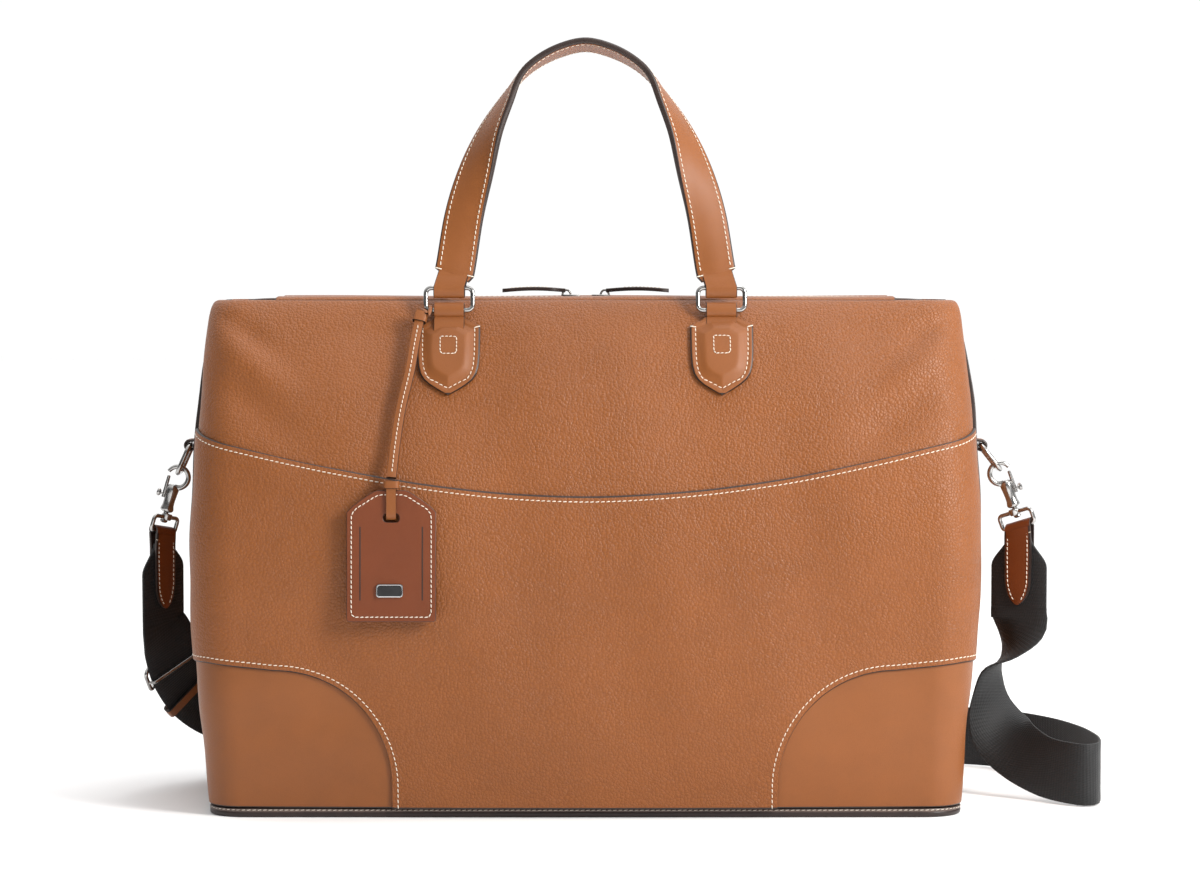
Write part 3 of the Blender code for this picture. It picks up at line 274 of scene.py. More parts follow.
def woven(name, colour, across, along, depth, sheen=0.25):
    """Cloth whose yarns follow the mesh's own UV map, in metres: across and along are yarns per metre."""
    n = Nodes(name)
    uv = n.add("ShaderNodeUVMap", uv_map="cloth").outputs["UV"]
    mapping = n.add("ShaderNodeMapping", Scale=(across, along, 1.0))
    n.link(uv, mapping.inputs["Vector"])
    parts = n.add("ShaderNodeSeparateXYZ")
    n.link(mapping.outputs["Vector"], parts.inputs["Vector"])
    weft = n.maths("SINE", n.maths("MULTIPLY", parts.outputs["Y"], math.tau), 0.0)
    twill = n.maths(
        "ADD", n.maths("MULTIPLY", parts.outputs["X"], 1.0), n.maths("MULTIPLY", parts.outputs["Y"], 0.5)
    )
    warp = n.maths("SINE", n.maths("MULTIPLY", twill, math.tau), 0.0)
    height = n.maths("ADD", n.maths("MULTIPLY", weft, 0.25), n.maths("MULTIPLY", warp, 0.25))
    height = n.maths("ADD", height, 0.5)
    fuzz = n.noise(1500.0, 3.0, 0.6)
    # painted highlight and shade: yarn crests from the weave's height are made lighter and the grooves darker;
    # the fuzz noise adds random tone
    yarn_shade_and_fuzz = n.maths("ADD", n.maths("MULTIPLY", height, 0.6), n.maths("MULTIPLY", fuzz, 0.4))
    stops = [(0.2, shade(colour, 0.55)), (0.5, colour), (0.85, shade(colour, 1.9))]
    n.link(n.ramp(yarn_shade_and_fuzz, stops), n.shader.inputs["Base Color"])
    n.link(n.bump(height, 0.8, depth), n.shader.inputs["Normal"])
    n.link(n.grey(fuzz, 0.55, 0.8), n.shader.inputs["Roughness"])
    n.shader.inputs["Sheen Weight"].default_value = sheen
    n.shader.inputs["Sheen Roughness"].default_value = 0.4
    return n.material


TAN = (0.234, 0.070, 0.012)
PEBBLED = leather("pebbled_leather", TAN, 0.43, 500.0, 0.00036)
SMOOTH = leather("smooth_leather", (0.232, 0.071, 0.013), 0.42, 2300.0, 0.00005, 0.04)
TAG_LEATHER = leather("tag_leather", (0.155, 0.033, 0.005), 0.40, 2300.0, 0.00006, 0.04)
DARK_EDGE = painted_edge("dark_painted_edge", (0.022, 0.011, 0.008))
# the base's edge paint in two bands: the upper one lightened as painted light catching the edge, the lower one a
# second layer of edge paint darkened as painted shadow under the foot
BASE_EDGE_LIT = painted_edge("base_edge_upper_lit", (0.090, 0.060, 0.050))
BASE_FOOT_SHADOW = painted_edge("base_edge_lower_shadow", (0.020, 0.010, 0.008))
THREAD = thread("pale_thread", (0.80, 0.72, 0.60))
CHROME = metal("polished_nickel", (0.42, 0.41, 0.40), 0.15)
BADGE_RIM = metal("badge_rim", (0.55, 0.55, 0.55), 0.14)
ENAMEL = painted_edge("dark_enamel", (0.010, 0.010, 0.011))
ZIP_METAL = metal("zip_metal", (0.30, 0.29, 0.28), 0.25)
WEBBING = woven("black_webbing", (0.0050, 0.0050, 0.0055), 620.0, 480.0, 0.00030, 0.06)
TAPE = woven("black_zip_tape", (0.010, 0.010, 0.011), 900.0, 900.0, 0.00015, 0.15)
LINING = woven("lining_cloth", (0.240, 0.185, 0.130), 800.0, 800.0, 0.00020, 0.2)
BOARD = painted_edge("fibre_board", (0.13, 0.10, 0.08))

# ---- the bag's surface ---------------------------------------------------------------------------------

ROWS = SECTIONS[:, 0]
BELOW = np.maximum(np.arange(len(ROWS)) - 1, 0)
ABOVE = np.minimum(np.arange(len(ROWS)) + 1, len(ROWS) - 1)
SLOPES = (SECTIONS[ABOVE, 1:] - SECTIONS[BELOW, 1:]) / (ROWS[ABOVE] - ROWS[BELOW])[:, None]


def section(z):
    """Half-width, half-depth and corner radius at height z."""
    z = np.asarray(z, float)
    i = np.clip(np.searchsorted(ROWS, z) - 1, 0, len(ROWS) - 2)
    span = ROWS[i + 1] - ROWS[i]
    t = np.clip((z - ROWS[i]) / span, 0, 1)
    made = []
    for column in range(3):
        a, b = SECTIONS[i, column + 1], SECTIONS[i + 1, column + 1]
        m, n = SLOPES[i, column] * span, SLOPES[i + 1, column] * span
        made.append(
            (2 * t**3 - 3 * t**2 + 1) * a
            + (t**3 - 2 * t**2 + t) * m
            + (-2 * t**3 + 3 * t**2) * b
            + (t**3 - t**2) * n
        )
    return made


SEAM_EDGE_FOOT = 0.0985  # the side seams: from the corner piece's top up to where they sink into the leather
SEAM_EDGE_TOP = {1: 0.3040, -1: 0.2920}  # right and left
SEAM_EDGE_FROM_CORNER = 0.0056
SEAM_EDGE_PROUD = 0.0012
SEAM_EDGE_SUNK = 0.0016  # how far its ends dip into the leather
SEAM_EDGE_HALF_DEPTH = 0.0022  # deep enough to meet the side wall behind it
SEAM_EDGE_FOOT_TAPER = 0.008
SEAM_EDGE_TOP_TAPER = 0.045


def side_start(z):
    width, _, radius = section(z)
    return width - radius + radius * math.pi / 2


def side_middle(z):
    _, depth, radius = section(z)
    return side_start(z) + depth - radius


def hard_surface(s, z):
    """The bag's outside before the leather relaxes. Past the middle of a side it runs on to the back."""
    s, z = np.broadcast_arrays(np.asarray(s, float), np.asarray(z, float))
    middle = side_middle(z)
    past = np.abs(s) > middle
    t = np.where(past, 2 * middle - np.abs(s), np.abs(s))
    width, depth, radius = section(z)
    flat, arc = width - radius, radius * math.pi / 2
    near_top = np.clip((TOP_Z - z) / 0.06, 0, 1)
    turn = np.clip((t - flat) / radius, 0, math.pi / 2)
    on_front = t <= flat
    on_side = t > flat + arc
    reach = depth - radius
    side_y = -reach + (t - flat - arc)
    x = np.where(on_front, t, flat + radius * np.sin(turn))
    y = np.where(
        on_front, -depth - FRONT_PUFF * (1 - (t / flat) ** 2) * near_top, -reach - radius * np.cos(turn)
    )
    bulge = SIDE_PUFF * (1 - (side_y / reach) ** 2) * np.clip((TOP_Z - z) / 0.12, 0, 1)
    x = np.where(on_side, width + bulge, x)
    y = np.where(on_side, side_y, y)
    y = np.where(past, -y, y)
    return np.stack([x * np.where(s < 0, -1.0, 1.0), y, z], axis=-1)


def hump(value, centre, width):
    return np.exp(-(((value - centre) / width) ** 2))


def relax(s, z, back=0.0):
    """How far the soft leather stands out from the drawn surface: slow waves, and creases at the corners."""
    t = np.abs(s)
    low = np.clip((z - 0.012) / 0.05, 0, 1) * np.clip((TOP_Z - z) / 0.02, 0, 1)
    waves = 0.0015 * np.sin(s * 17.0 + 0.8 + back) * np.sin(z * 21.0 + 0.6)
    waves += 0.0010 * np.sin(s * 37.0 + z * 23.0 + 2.1 + back)
    waves += 0.0006 * np.sin(s * 71.0 - z * 47.0 + 0.4) * np.cos(z * 63.0 + s * 31.0)
    side = np.where(s < 0, -1.0, 1.0)
    down = (TOP_Z - z) + 0.62 * (t - 0.232)
    along = (0.232 - t) + 0.30 * (TOP_Z - z)
    envelope = np.clip((t - 0.10) / 0.06, 0, 1) * np.clip((TOP_Z - z) / 0.012, 0, 1)
    crease = -0.0021 * hump(down, 0.012, 0.0080) * hump(along, 0.020, 0.022)
    crease += 0.0029 * hump(down, 0.030, 0.0120) * hump(along, 0.034, 0.026)
    crease -= 0.0021 * hump(down, 0.055, 0.0130) * hump(along, 0.050 + 0.010 * side, 0.030)
    crease += 0.0013 * hump(down, 0.084, 0.0170) * hump(along, 0.066, 0.040)
    pull = -0.0010 * (hump(s, -0.087, 0.026) + hump(s, 0.087, 0.026)) * hump(z, 0.258, 0.012)
    pull += 0.0012 * hump(s, 0.0, 0.060) * hump(z, 0.300, 0.020)
    return low * waves + envelope * crease + pull


def unit(v):
    return v / np.maximum(np.linalg.norm(v, axis=-1, keepdims=True), 1e-12)


def hard_normal(s, z):
    step = 0.0006
    along = hard_surface(s + step, z) - hard_surface(s - step, z)
    low, high = np.maximum(z - step, 0.0), np.minimum(z + step, TOP_Z)
    return unit(np.cross(along, hard_surface(s, high) - hard_surface(s, low)))


def bag_surface(s, z, depth=0.0, back=False):
    """Points on a layer of the bag. The back is the front turned over, with its own waves."""
    s, z = np.broadcast_arrays(np.asarray(s, float), np.asarray(z, float))
    out = relax(s, z, 1.7 if back else 0.0) - np.asarray(depth, float)
    points = hard_surface(s, z) + hard_normal(s, z) * out[..., None]
    return points * np.array([1.0, -1.0, 1.0]) if back else points


def bag_normal(s, z, back=False):
    """The soft surface's own normal."""
    s, z = np.broadcast_arrays(np.asarray(s, float), np.asarray(z, float))
    step = 0.0008
    along = bag_surface(s + step, z) - bag_surface(s - step, z)
    low, high = np.maximum(z - step, 0.0), np.minimum(z + step, TOP_Z)
    normal = unit(np.cross(along, bag_surface(s, high) - bag_surface(s, low)))
    return normal * np.array([1.0, -1.0, 1.0]) if back else normal


# ---- mesh helpers --------------------------------------------------------------------------------------


def add_mesh(name, verts, faces, materials, slots=None, smooth=40.0, uv=None):
    mesh = bpy.data.meshes.new(name)
    mesh.from_pydata([tuple(v) for v in verts], [], [tuple(int(i) for i in f) for f in faces])
    for each in materials:
        mesh.materials.append(each)
    if slots is not None:
        mesh.polygons.foreach_set("material_index", np.asarray(slots, np.int32))
    mesh.polygons.foreach_set("use_smooth", np.ones(len(mesh.polygons), bool))
    if uv is not None:
        layer = mesh.uv_layers.new(name="cloth")
        corners = np.zeros(len(mesh.loops), np.int32)
        mesh.loops.foreach_get("vertex_index", corners)
        layer.data.foreach_set("uv", np.asarray(uv, np.float32)[corners].ravel())
    if smooth is not None:
        mesh.set_sharp_from_angle(angle=math.radians(smooth))
    mesh.update()
    made = bpy.data.objects.new(name, mesh)
    bpy.context.scene.collection.objects.link(made)
    return made


def finish_piece(piece, body, slot, *nodes):
    """Hands a finished piece to its body and hides the CAD nodes that it stands for. Its slot is not used."""
    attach(piece, body)
    if nodes:
        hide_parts(*nodes)
    return piece


def lattice(rows, cols, first=0, closed=False):
    """Quads of a grid whose points are numbered row by row."""
    j, i = np.mgrid[0 : rows - 1, 0 : cols if closed else cols - 1]
    a = first + j * cols + i
    b = first + j * cols + (i + 1) % cols
    return np.stack([a, b, b + cols, a + cols], axis=-1).reshape(-1, 4)


def border_ring(rows, cols):
    """Point numbers round a grid's border, counter-clockwise."""
    low = list(range(cols))
    right = [r * cols + cols - 1 for r in range(1, rows)]
    top = [(rows - 1) * cols + c for c in range(cols - 2, -1, -1)]
    left = [r * cols for r in range(rows - 2, 0, -1)]
    return low + right + top + left


def border_distance(points):
    """Distance of each grid point from the grid's nearest border, along its row or column."""
    steps = np.linalg.norm(np.diff(points, axis=1), axis=-1)
    run = np.concatenate([np.zeros((points.shape[0], 1)), np.cumsum(steps, axis=1)], axis=1)
    steps = np.linalg.norm(np.diff(points, axis=0), axis=-1)
    climb = np.concatenate([np.zeros((1, points.shape[1])), np.cumsum(steps, axis=0)], axis=0)
    return np.minimum(np.minimum(run, run[:, -1:] - run), np.minimum(climb, climb[-1:] - climb))


def leather_sheet(
    name, points, normals, thickness, materials, flip=False, rounding=0.0007, painted=(1, 1, 1, 1), uv=None
):
    """A closed sheet with rounded edges, from a grid of points on its outer face.

    painted says which borders carry edge paint: first row, last row, first column, last column.
    """
    rows, cols = points.shape[:2]
    distance = border_distance(points)
    inside = rounding - np.minimum(distance, rounding)
    sink = rounding - np.sqrt(np.maximum(rounding**2 - inside**2, 0.0))
    outer = points - normals * sink[..., None]
    inner = points - normals * thickness
    count = rows * cols
    verts = np.concatenate([outer.reshape(-1, 3), inner.reshape(-1, 3)])
    faces = lattice(rows, cols)
    ring = border_ring(rows, cols)
    walls = [(b, a, a + count, b + count) for a, b in zip(ring, ring[1:] + ring[:1])]
    rim = np.zeros((rows - 1, cols - 1), int)
    rim[0, :], rim[-1, :] = painted[0], painted[1]
    rim[:, 0] |= painted[2]
    rim[:, -1] |= painted[3]
    sides = [painted[0]] * (
        cols - 1
    ) + [painted[3]] * (rows - 1) + [painted[1]] * (cols - 1) + [painted[2]] * (rows - 1)
    slots = np.concatenate([rim.reshape(-1), np.zeros(len(faces), int), np.array(sides)])
    made = np.concatenate([faces, faces[:, ::-1] + count, np.array(walls)])
    if flip:
        made = made[:, ::-1]
    if uv is not None:
        uv = np.concatenate([uv.reshape(-1, 2)] * 2)
    return add_mesh(name, verts, made, materials, slots, 50.0, uv)


def spaced(length, step, border=(0.0011, 0.0018, 0.0028)):
    """Fractions from 0 to 1 along a length, closer together beside both ends."""
    inner = np.linspace(0.0046, length - 0.0046, max(2, int(round(length / step))))
    made = np.concatenate([[0.0], border, inner, length - np.array(border)[::-1], [length]])
    return made / length


def resample(points, step=None, count=None):
    """Points evenly spaced along a polyline of any dimension, measured on its first three columns."""
    points = np.asarray(points, float)
    run = np.concatenate([[0.0], np.cumsum(np.linalg.norm(np.diff(points[:, :3], axis=0), axis=1))])
    count = count or max(2, int(round(run[-1] / step)) + 1)
    at = np.linspace(0.0, run[-1], count)
    return np.stack([np.interp(at, run, points[:, k]) for k in range(points.shape[1])], axis=1)


def curve_through(points, per_span=8):
    """Catmull-Rom curve through points of any dimension."""
    p = np.asarray(points, float)
    p = np.vstack([2 * p[0] - p[1], p, 2 * p[-1] - p[-2]])
    made = []
    for i in range(len(p) - 3):
        a, b, c, d = p[i : i + 4]
        for t in np.arange(per_span) / per_span:
            cubic = (3 * b - a - 3 * c + d) * t**3
            made.append(0.5 * (2 * b + (c - a) * t + (2 * a - 5 * b + 4 * c - d) * t**2 + cubic))
    made.append(p[-2])
    return np.array(made)


def stitch_shape(sides=6):
    """One stitch lying along X, with its thread sinking at both ends."""
    verts, faces = [], []
    rings = [
        (-0.5, 0.35, -0.55), (-0.36, 0.85, 0.05), (0.0, 1.0, 0.35), (0.36, 0.85, 0.05), (0.5, 0.35, -0.55)
    ]
    for x, radius, lift in rings:
        for k in range(sides):
            turn = math.tau * k / sides
            verts.append((x, radius * math.cos(turn), radius * 0.8 * math.sin(turn) + lift))
    faces = lattice(len(rings), sides, closed=True).tolist()
    return np.array(verts), faces


STITCH_VERTS, STITCH_FACES = stitch_shape()


def stitch_row(points, normals, pitch=STITCH_PITCH, length=STITCH_LENGTH, radius=STITCH_RADIUS, slant=7.0):
    """Stitches along a polyline that lies on a surface. Returns their points and faces."""
    path = resample(np.hstack([points, normals]), count=max(3, int(round(_length(points) / pitch)) + 1))
    middle = (path[1:, :3] + path[:-1, :3]) / 2
    along = unit(path[1:, :3] - path[:-1, :3])
    up = unit((path[1:, 3:] + path[:-1, 3:]) / 2)
    across = unit(np.cross(up, along))
    turn = math.radians(slant)
    cos, sin = math.cos(turn), math.sin(turn)
    along, across = along * cos + across * sin, across * cos - along * sin
    verts, faces = [], []
    for k in range(len(middle)):
        shape = (
            STITCH_VERTS[:, :1] * length * along[k]
            + STITCH_VERTS[:, 1:2] * radius * across[k]
            + STITCH_VERTS[:, 2:] * radius * up[k]
        )
        verts.append(middle[k] + shape)
        faces.append(np.array(STITCH_FACES) + k * len(STITCH_VERTS))
    return np.concatenate(verts), np.concatenate(faces)


def _length(points):
    return float(np.linalg.norm(np.diff(np.asarray(points)[:, :3], axis=0), axis=1).sum())


def stitching(name, rows):
    """One object from rows of stitches, each given as (points, normals) or (points, normals, options)."""
    verts, faces, count = [], [], 0
    for row in rows:
        options = row[2] if len(row) > 2 else {}
        v, f = stitch_row(np.asarray(row[0]), np.asarray(row[1]), **options)
        verts.append(v)
        faces.append(f + count)
        count += len(v)
    return add_mesh(name, np.concatenate(verts), np.concatenate(faces), [THREAD], None, None)


def sweep(
    name, centres, wides, faces_up, outline, materials, slots=None, scale=None, closed=False, smooth=40.0,
    uv=False
):
    """A section carried along a path. outline is (across, up) points, slots one material per side."""
    centres, wides, ups = (np.asarray(a, float) for a in (centres, wides, faces_up))
    outline = np.asarray(outline, float)
    count, sides = len(centres), len(outline)
    scale = np.ones((count, 2)) if scale is None else np.asarray(scale, float)
    verts = (
        centres[:, None]
        + wides[:, None] * (outline[None, :, :1] * scale[:, None, :1])
        + ups[:, None] * (outline[None, :, 1:] * scale[:, None, 1:])
    ).reshape(-1, 3)
    quads = lattice(count, sides, closed=True)
    material = np.tile(np.zeros(sides, int) if slots is None else np.asarray(slots), count - 1)
    made = [tuple(q) for q in quads]
    if closed:
        last = (count - 1) * sides
        made += [(last + k, last + (k + 1) % sides, (k + 1) % sides, k) for k in range(sides)]
        material = np.concatenate([material, np.zeros(sides, int) if slots is None else np.asarray(slots)])
    else:
        made += [tuple(range(sides))[::-1], tuple(range((count - 1) * sides, count * sides))]
        cap = 0 if slots is None else max(slots)
        material = np.concatenate([material, [cap, cap]])
    cloth = None
    if uv:
        run = np.concatenate([[0.0], np.cumsum(np.linalg.norm(np.diff(centres, axis=0), axis=1))])
        cloth = np.stack([np.tile(outline[:, 0], count), np.repeat(run, sides)], axis=1)
    piece = add_mesh(name, verts, made, materials, material, smooth, cloth)
    fix_normals(piece, smooth)
    return piece


def fix_normals(piece, smooth=40.0):
    work = bmesh.new()
    work.from_mesh(piece.data)
    bmesh.ops.recalc_face_normals(work, faces=work.faces)
    work.to_mesh(piece.data)
    work.free()
    if smooth is not None:
        piece.data.set_sharp_from_angle(angle=math.radians(smooth))
    return piece


def round_bar(name, path, radius, material, closed=False, sides=16, flat=1.0, up=(0.0, 1.0, 0.0)):
    """A round or oval bar along a path. radius may be one number or one per point."""
    path = np.asarray(path, float)
    ahead = np.roll(path, -1, axis=0) - np.roll(path, 1, axis=0)
    if not closed:
        ahead[0], ahead[-1] = path[1] - path[0], path[-1] - path[-2]
    ahead = unit(ahead)
    first = unit(np.cross(np.tile(np.array(up, float), (len(path), 1)), ahead))
    second = np.cross(ahead, first)
    turn = np.linspace(0, math.tau, sides, endpoint=False)
    outline = np.stack([np.cos(turn), flat * np.sin(turn)], axis=1)
    radii = np.broadcast_to(np.asarray(radius, float), (len(path),))
    return sweep(
        name, path, first, second, outline, [material], None, np.stack([radii, radii], 1), closed, 60.0
    )


def lathe(name, start, axis, profile, material, sides=32):
    """A turned piece: profile is (distance along the axis, radius) from its first end to its last."""
    axis = Vector(axis).normalized()
    side = axis.orthogonal().normalized()
    other = axis.cross(side)
    verts = []
    for along, radius in profile:
        for k in range(sides):
            turn = math.tau * k / sides
            verts.append(
                Vector(start) + axis * along + (side * math.cos(turn) + other * math.sin(turn)) * radius
            )
    faces = [tuple(f) for f in lattice(len(profile), sides, closed=True)]
    faces += [tuple(range(sides))[::-1], tuple(range((len(profile) - 1) * sides, len(profile) * sides))]
    return fix_normals(add_mesh(name, verts, faces, [material], None, 35.0), 35.0)


def join(name, pieces):
    """Joins finished meshes into one, under the first one's name."""
    first = pieces[0]
    bpy.ops.object.select_all(action="DESELECT")
    for piece in pieces:
        piece.select_set(True)
    bpy.context.view_layer.objects.active = first
    bpy.ops.object.join()
    first.name = name
    first.data.name = name
    return first


def rounded_box_outline(half_x, half_y, radius, steps=5):
    made = []
    for sx, sy, start in ((1, 1, 0), (-1, 1, 90), (-1, -1, 180), (1, -1, 270)):
        for k in range(steps + 1):
            turn = math.radians(start + 90 * k / steps)
            made.append((
                sx * (half_x - radius) + radius * math.cos(turn), sy * (half_y - radius)
                + radius * math.sin(turn)
            ))
    return made


# ---- leather of the body -------------------------------------------------------------------------------


def seam_height(s):
    return SEAM_LOW + SEAM_RISE * np.minimum(1.0, np.abs(s) / SEAM_HALF) ** 1.8


def boot_top(s):
    start, low = BOOT_INNER + BOOT_RADIUS, BOOT_CURVE_FOOT + BOOT_RADIUS
    return low + (BOOT_TOP_SIDE - low) * np.clip((np.asarray(s) - start) / 0.045, 0, 1)


def boot_line(end_s, count=160):
    """The lapped edge over a corner piece, from the foot inwards of it to the side: (s, z) points."""
    centre = BOOT_INNER + BOOT_RADIUS
    turn = np.linspace(0, math.pi / 2, 40)
    curve_s = centre - BOOT_RADIUS * np.cos(turn)
    curve_z = BOOT_CURVE_FOOT + BOOT_RADIUS * np.sin(turn)
    rest_s = np.linspace(centre, end_s, 30)[1:]
    s = np.concatenate([[BOOT_INNER, BOOT_INNER], curve_s[1:], rest_s])
    z = np.concatenate([[PANEL_FOOT, BOOT_CURVE_FOOT], curve_z[1:], boot_top(rest_s)])
    return resample(np.stack([s, z, 0 * s], axis=1), count=count)[:, :2]


def lower_panel(name, back):
    end_low = float(side_start(BOOT_TOP_SIDE)) + SIDE_LAP
    end_high = float(side_start(0.24)) + SIDE_LAP
    edge = boot_line(end_low)
    foot = np.stack([np.linspace(0.0, BOOT_INNER, 40), np.full(40, PANEL_FOOT)], axis=1)[:-1]
    low = np.vstack([foot, edge])
    low = np.hstack([low, np.zeros((len(low), 1))])
    half = spaced(2 * _length(low), 0.0034)
    half = half[half >= 0.5] * 2 - 1
    run = np.concatenate([[0.0], np.cumsum(np.linalg.norm(np.diff(low, axis=0), axis=1))])
    low_s = np.interp(half * run[-1], run, low[:, 0])
    low_z = np.interp(half * run[-1], run, low[:, 1])
    low_s = np.concatenate([-low_s[::-1], low_s[1:]])
    low_z = np.concatenate([low_z[::-1], low_z[1:]])
    high_s = np.concatenate([-half[::-1], half[1:]]) * end_high
    rise = spaced(0.19, 0.0034)[:, None]
    s = low_s + (high_s - low_s) * rise
    z = low_z + (seam_height(high_s) - low_z) * rise
    points, normals = bag_surface(s, z, PROUD, back), bag_normal(s, z, back)
    piece = leather_sheet(name, points, normals, LEATHER, [PEBBLED, DARK_EDGE], flip=back)
    finish_piece(piece, "bag", "grained_leather", ("back_" if back else "front_") + "lower_panel")
    # stitches: one row under the seam, one inside each corner piece's curve
    s = np.linspace(-end_high + 0.003, end_high - 0.003, 420)
    z = seam_height(s) - STITCH_INSET
    rows = [(bag_surface(s, z, PROUD, back), bag_normal(s, z, back))]
    inner = boot_line(end_low - 0.003, 300)
    slope = np.gradient(inner, axis=0)
    slope = unit(slope)
    shifted = inner + np.stack([-slope[:, 1], slope[:, 0]], axis=1) * STITCH_INSET
    for side in (-1, 1):
        s, z = shifted[:, 0] * side, shifted[:, 1]
        rows.append((bag_surface(s, z, PROUD, back), bag_normal(s, z, back)))
    finish_piece(stitching(name + "_stitches", rows), "bag", "grained_leather")


def upper_panel(name, back):
    rise = spaced(0.13, 0.0030)
    height = seam_height(0.0) - 0.006
    columns = spaced(0.5, 0.0034) * 2 - 1
    z_mid = height + (TOP_Z - height) * rise[:, None]
    s = columns[None, :] * (side_start(z_mid) + SIDE_LAP)
    low = seam_height(s) - 0.006
    z = low + (TOP_Z - low) * rise[:, None]
    s = columns[None, :] * (side_start(z) + SIDE_LAP)
    points, normals = bag_surface(s, z, UNDER, back), bag_normal(s, z, back)
    piece = leather_sheet(
        name, points, normals, LEATHER, [PEBBLED, DARK_EDGE], flip=back, painted=(1, 0, 1, 1)
    )
    finish_piece(piece, "bag", "grained_leather", ("back_" if back else "front_") + "upper_panel")


def corner_boot(side, name):
    z = (PANEL_FOOT + (0.1035 - PANEL_FOOT) * spaced(0.1, 0.0032))[:, None]
    start = BOOT_INNER - 0.007
    columns = spaced(0.47, 0.0032)[None, :]
    s = start + (2 * side_middle(z) - 2 * start) * columns
    points, normals = bag_surface(s * side, z, UNDER), bag_normal(s * side, z)
    piece = leather_sheet(name, points, normals, LEATHER, [SMOOTH, DARK_EDGE], flip=side < 0)
    finish_piece(piece, "bag", "smooth_leather", name)


def gusset(side, name):
    """Side wall: it goes in behind the panels' edges and folds over at the top."""
    z = (0.095 + (0.3215 - 0.095) * np.linspace(0, 1, 70))[:, None]
    columns = np.linspace(0, 1, 61)[None, :]
    start = side_start(z) - 0.010
    s = start + 2 * (side_middle(z) - start) * columns
    points, normals = bag_surface(s * side, z, GUSSET_DEPTH), bag_normal(s * side, z)
    wall = points[-1]
    steps = np.linspace(0, 1, 14)[1:, None, None]
    turn = steps * math.pi / 2
    flat = wall[:, 1] * 0.0462 / np.abs(wall[:, 1]).max()
    target_x = np.full(len(wall), side * (FLAP_HALF - 0.001))
    x = wall[:, 0] + (target_x - wall[:, 0]) * (1 - np.cos(turn[..., 0]))
    y = wall[:, 1] + (flat - wall[:, 1]) * steps[..., 0]
    height = wall[:, 2] + (0.3248 - wall[:, 2]) * np.sin(turn[..., 0])
    fold = np.stack([x, y, height], axis=-1)
    points = np.concatenate([points, fold])
    along = np.gradient(points, axis=1)
    up = np.gradient(points, axis=0)
    normals = unit(np.cross(along, up)) * side
    piece = leather_sheet(
        name, points, normals, LEATHER, [PEBBLED, DARK_EDGE], flip=side < 0, painted=(0, 0, 0, 0)
    )
    finish_piece(piece, "bag", "grained_leather", name)


def side_seam(side, name, back):
    """The painted edge that stands up where a panel and a side wall are sewn together."""
    foot, top = SEAM_EDGE_FOOT, SEAM_EDGE_TOP[side]
    z = np.linspace(foot, top, 90)
    s = side * (side_start(z) + SEAM_EDGE_FROM_CORNER)
    rising = np.minimum((z - foot) / SEAM_EDGE_FOOT_TAPER, (top - z) / SEAM_EDGE_TOP_TAPER)
    rising = np.clip(rising, 0, 1)
    proud = SEAM_EDGE_PROUD * rising ** 0.7 - SEAM_EDGE_SUNK * (1 - rising) ** 2
    points = bag_surface(s, z, SEAM_EDGE_HALF_DEPTH - proud)
    normals = bag_normal(s, z)
    if back:
        points, normals = points * np.array([1, -1, 1]), normals * np.array([1, -1, 1])
    along = unit(np.gradient(points, axis=0))
    wide = unit(np.cross(along, normals))
    outline = rounded_box_outline(0.0008, SEAM_EDGE_HALF_DEPTH, 0.0006, 3)
    piece = sweep(
        f"side_seam_{name}_{'back' if back else 'front'}", points, wide, normals, outline, [DARK_EDGE]
    )
    finish_piece(piece, "bag", "painted_edge")


def base_piece():
    """Base with its rounded edge in two painted layers, lighter above as painted light and near black below as
    painted shadow under the foot, and its row of stitches.
    """
    levels = [
        (0.0, 0.0016), (0.0004, 0.0007), (0.0012, 0.0001), (0.0030, 0.0), (0.0034, 0.0003), (0.0038, 0.0),
        (0.0049, 0.0), (0.0054, 0.0005)
    ]
    outline = np.array(rounded_box_outline(*SECTIONS[0, 1:], 12))
    dense = resample(
        np.vstack([np.hstack([outline, np.zeros((len(outline), 1))]), [[*outline[0], 0.0]]]), 0.004
    )[:-1, :2]
    verts = []
    for height, inset in levels:
        shrink = 1 - inset / np.linalg.norm(dense, axis=1, keepdims=True)
        bow = 0.0008 * np.cos(dense[:, 0] / SECTIONS[0, 1] * math.pi / 2)
        ring = np.hstack([dense * shrink, np.full((len(dense), 1), height)])
        ring[:, 1] += np.sign(ring[:, 1]) * bow
        verts.append(ring)
    count = len(dense)
    faces = [tuple(f) for f in lattice(len(levels), count, closed=True)]
    # the lowest rings take the near-black band (edge paint and painted shadow under the foot), the rest the
    # lighter band (edge paint lightened as painted light)
    slots = [1 if f[0] // count < 4 else 0 for f in faces]
    faces += [tuple(range(count))[::-1], tuple(range((len(levels) - 1) * count, len(levels) * count))]
    piece = add_mesh("base", np.concatenate(verts), faces, [BASE_EDGE_LIT, BASE_FOOT_SHADOW], slots + [1, 0], 40.0)
    finish_piece(fix_normals(piece), "bag", "painted_edge", "base_panel")
    step = resample(np.hstack([dense, np.full((len(dense), 1), 0.0047)]), 0.0034)
    normals = unit(np.hstack([step[:, :2], np.zeros((len(step), 1))]) * np.array([0.2, 1.0, 0.0]))
    step[:, 1] += np.sign(step[:, 1]) * 0.0008 * np.cos(step[:, 0] / SECTIONS[0, 1] * math.pi / 2)
    stitches = stitching("base_stitches", [(step, normals, {"radius": 0.00022})])
    finish_piece(stitches, "bag", "painted_edge")


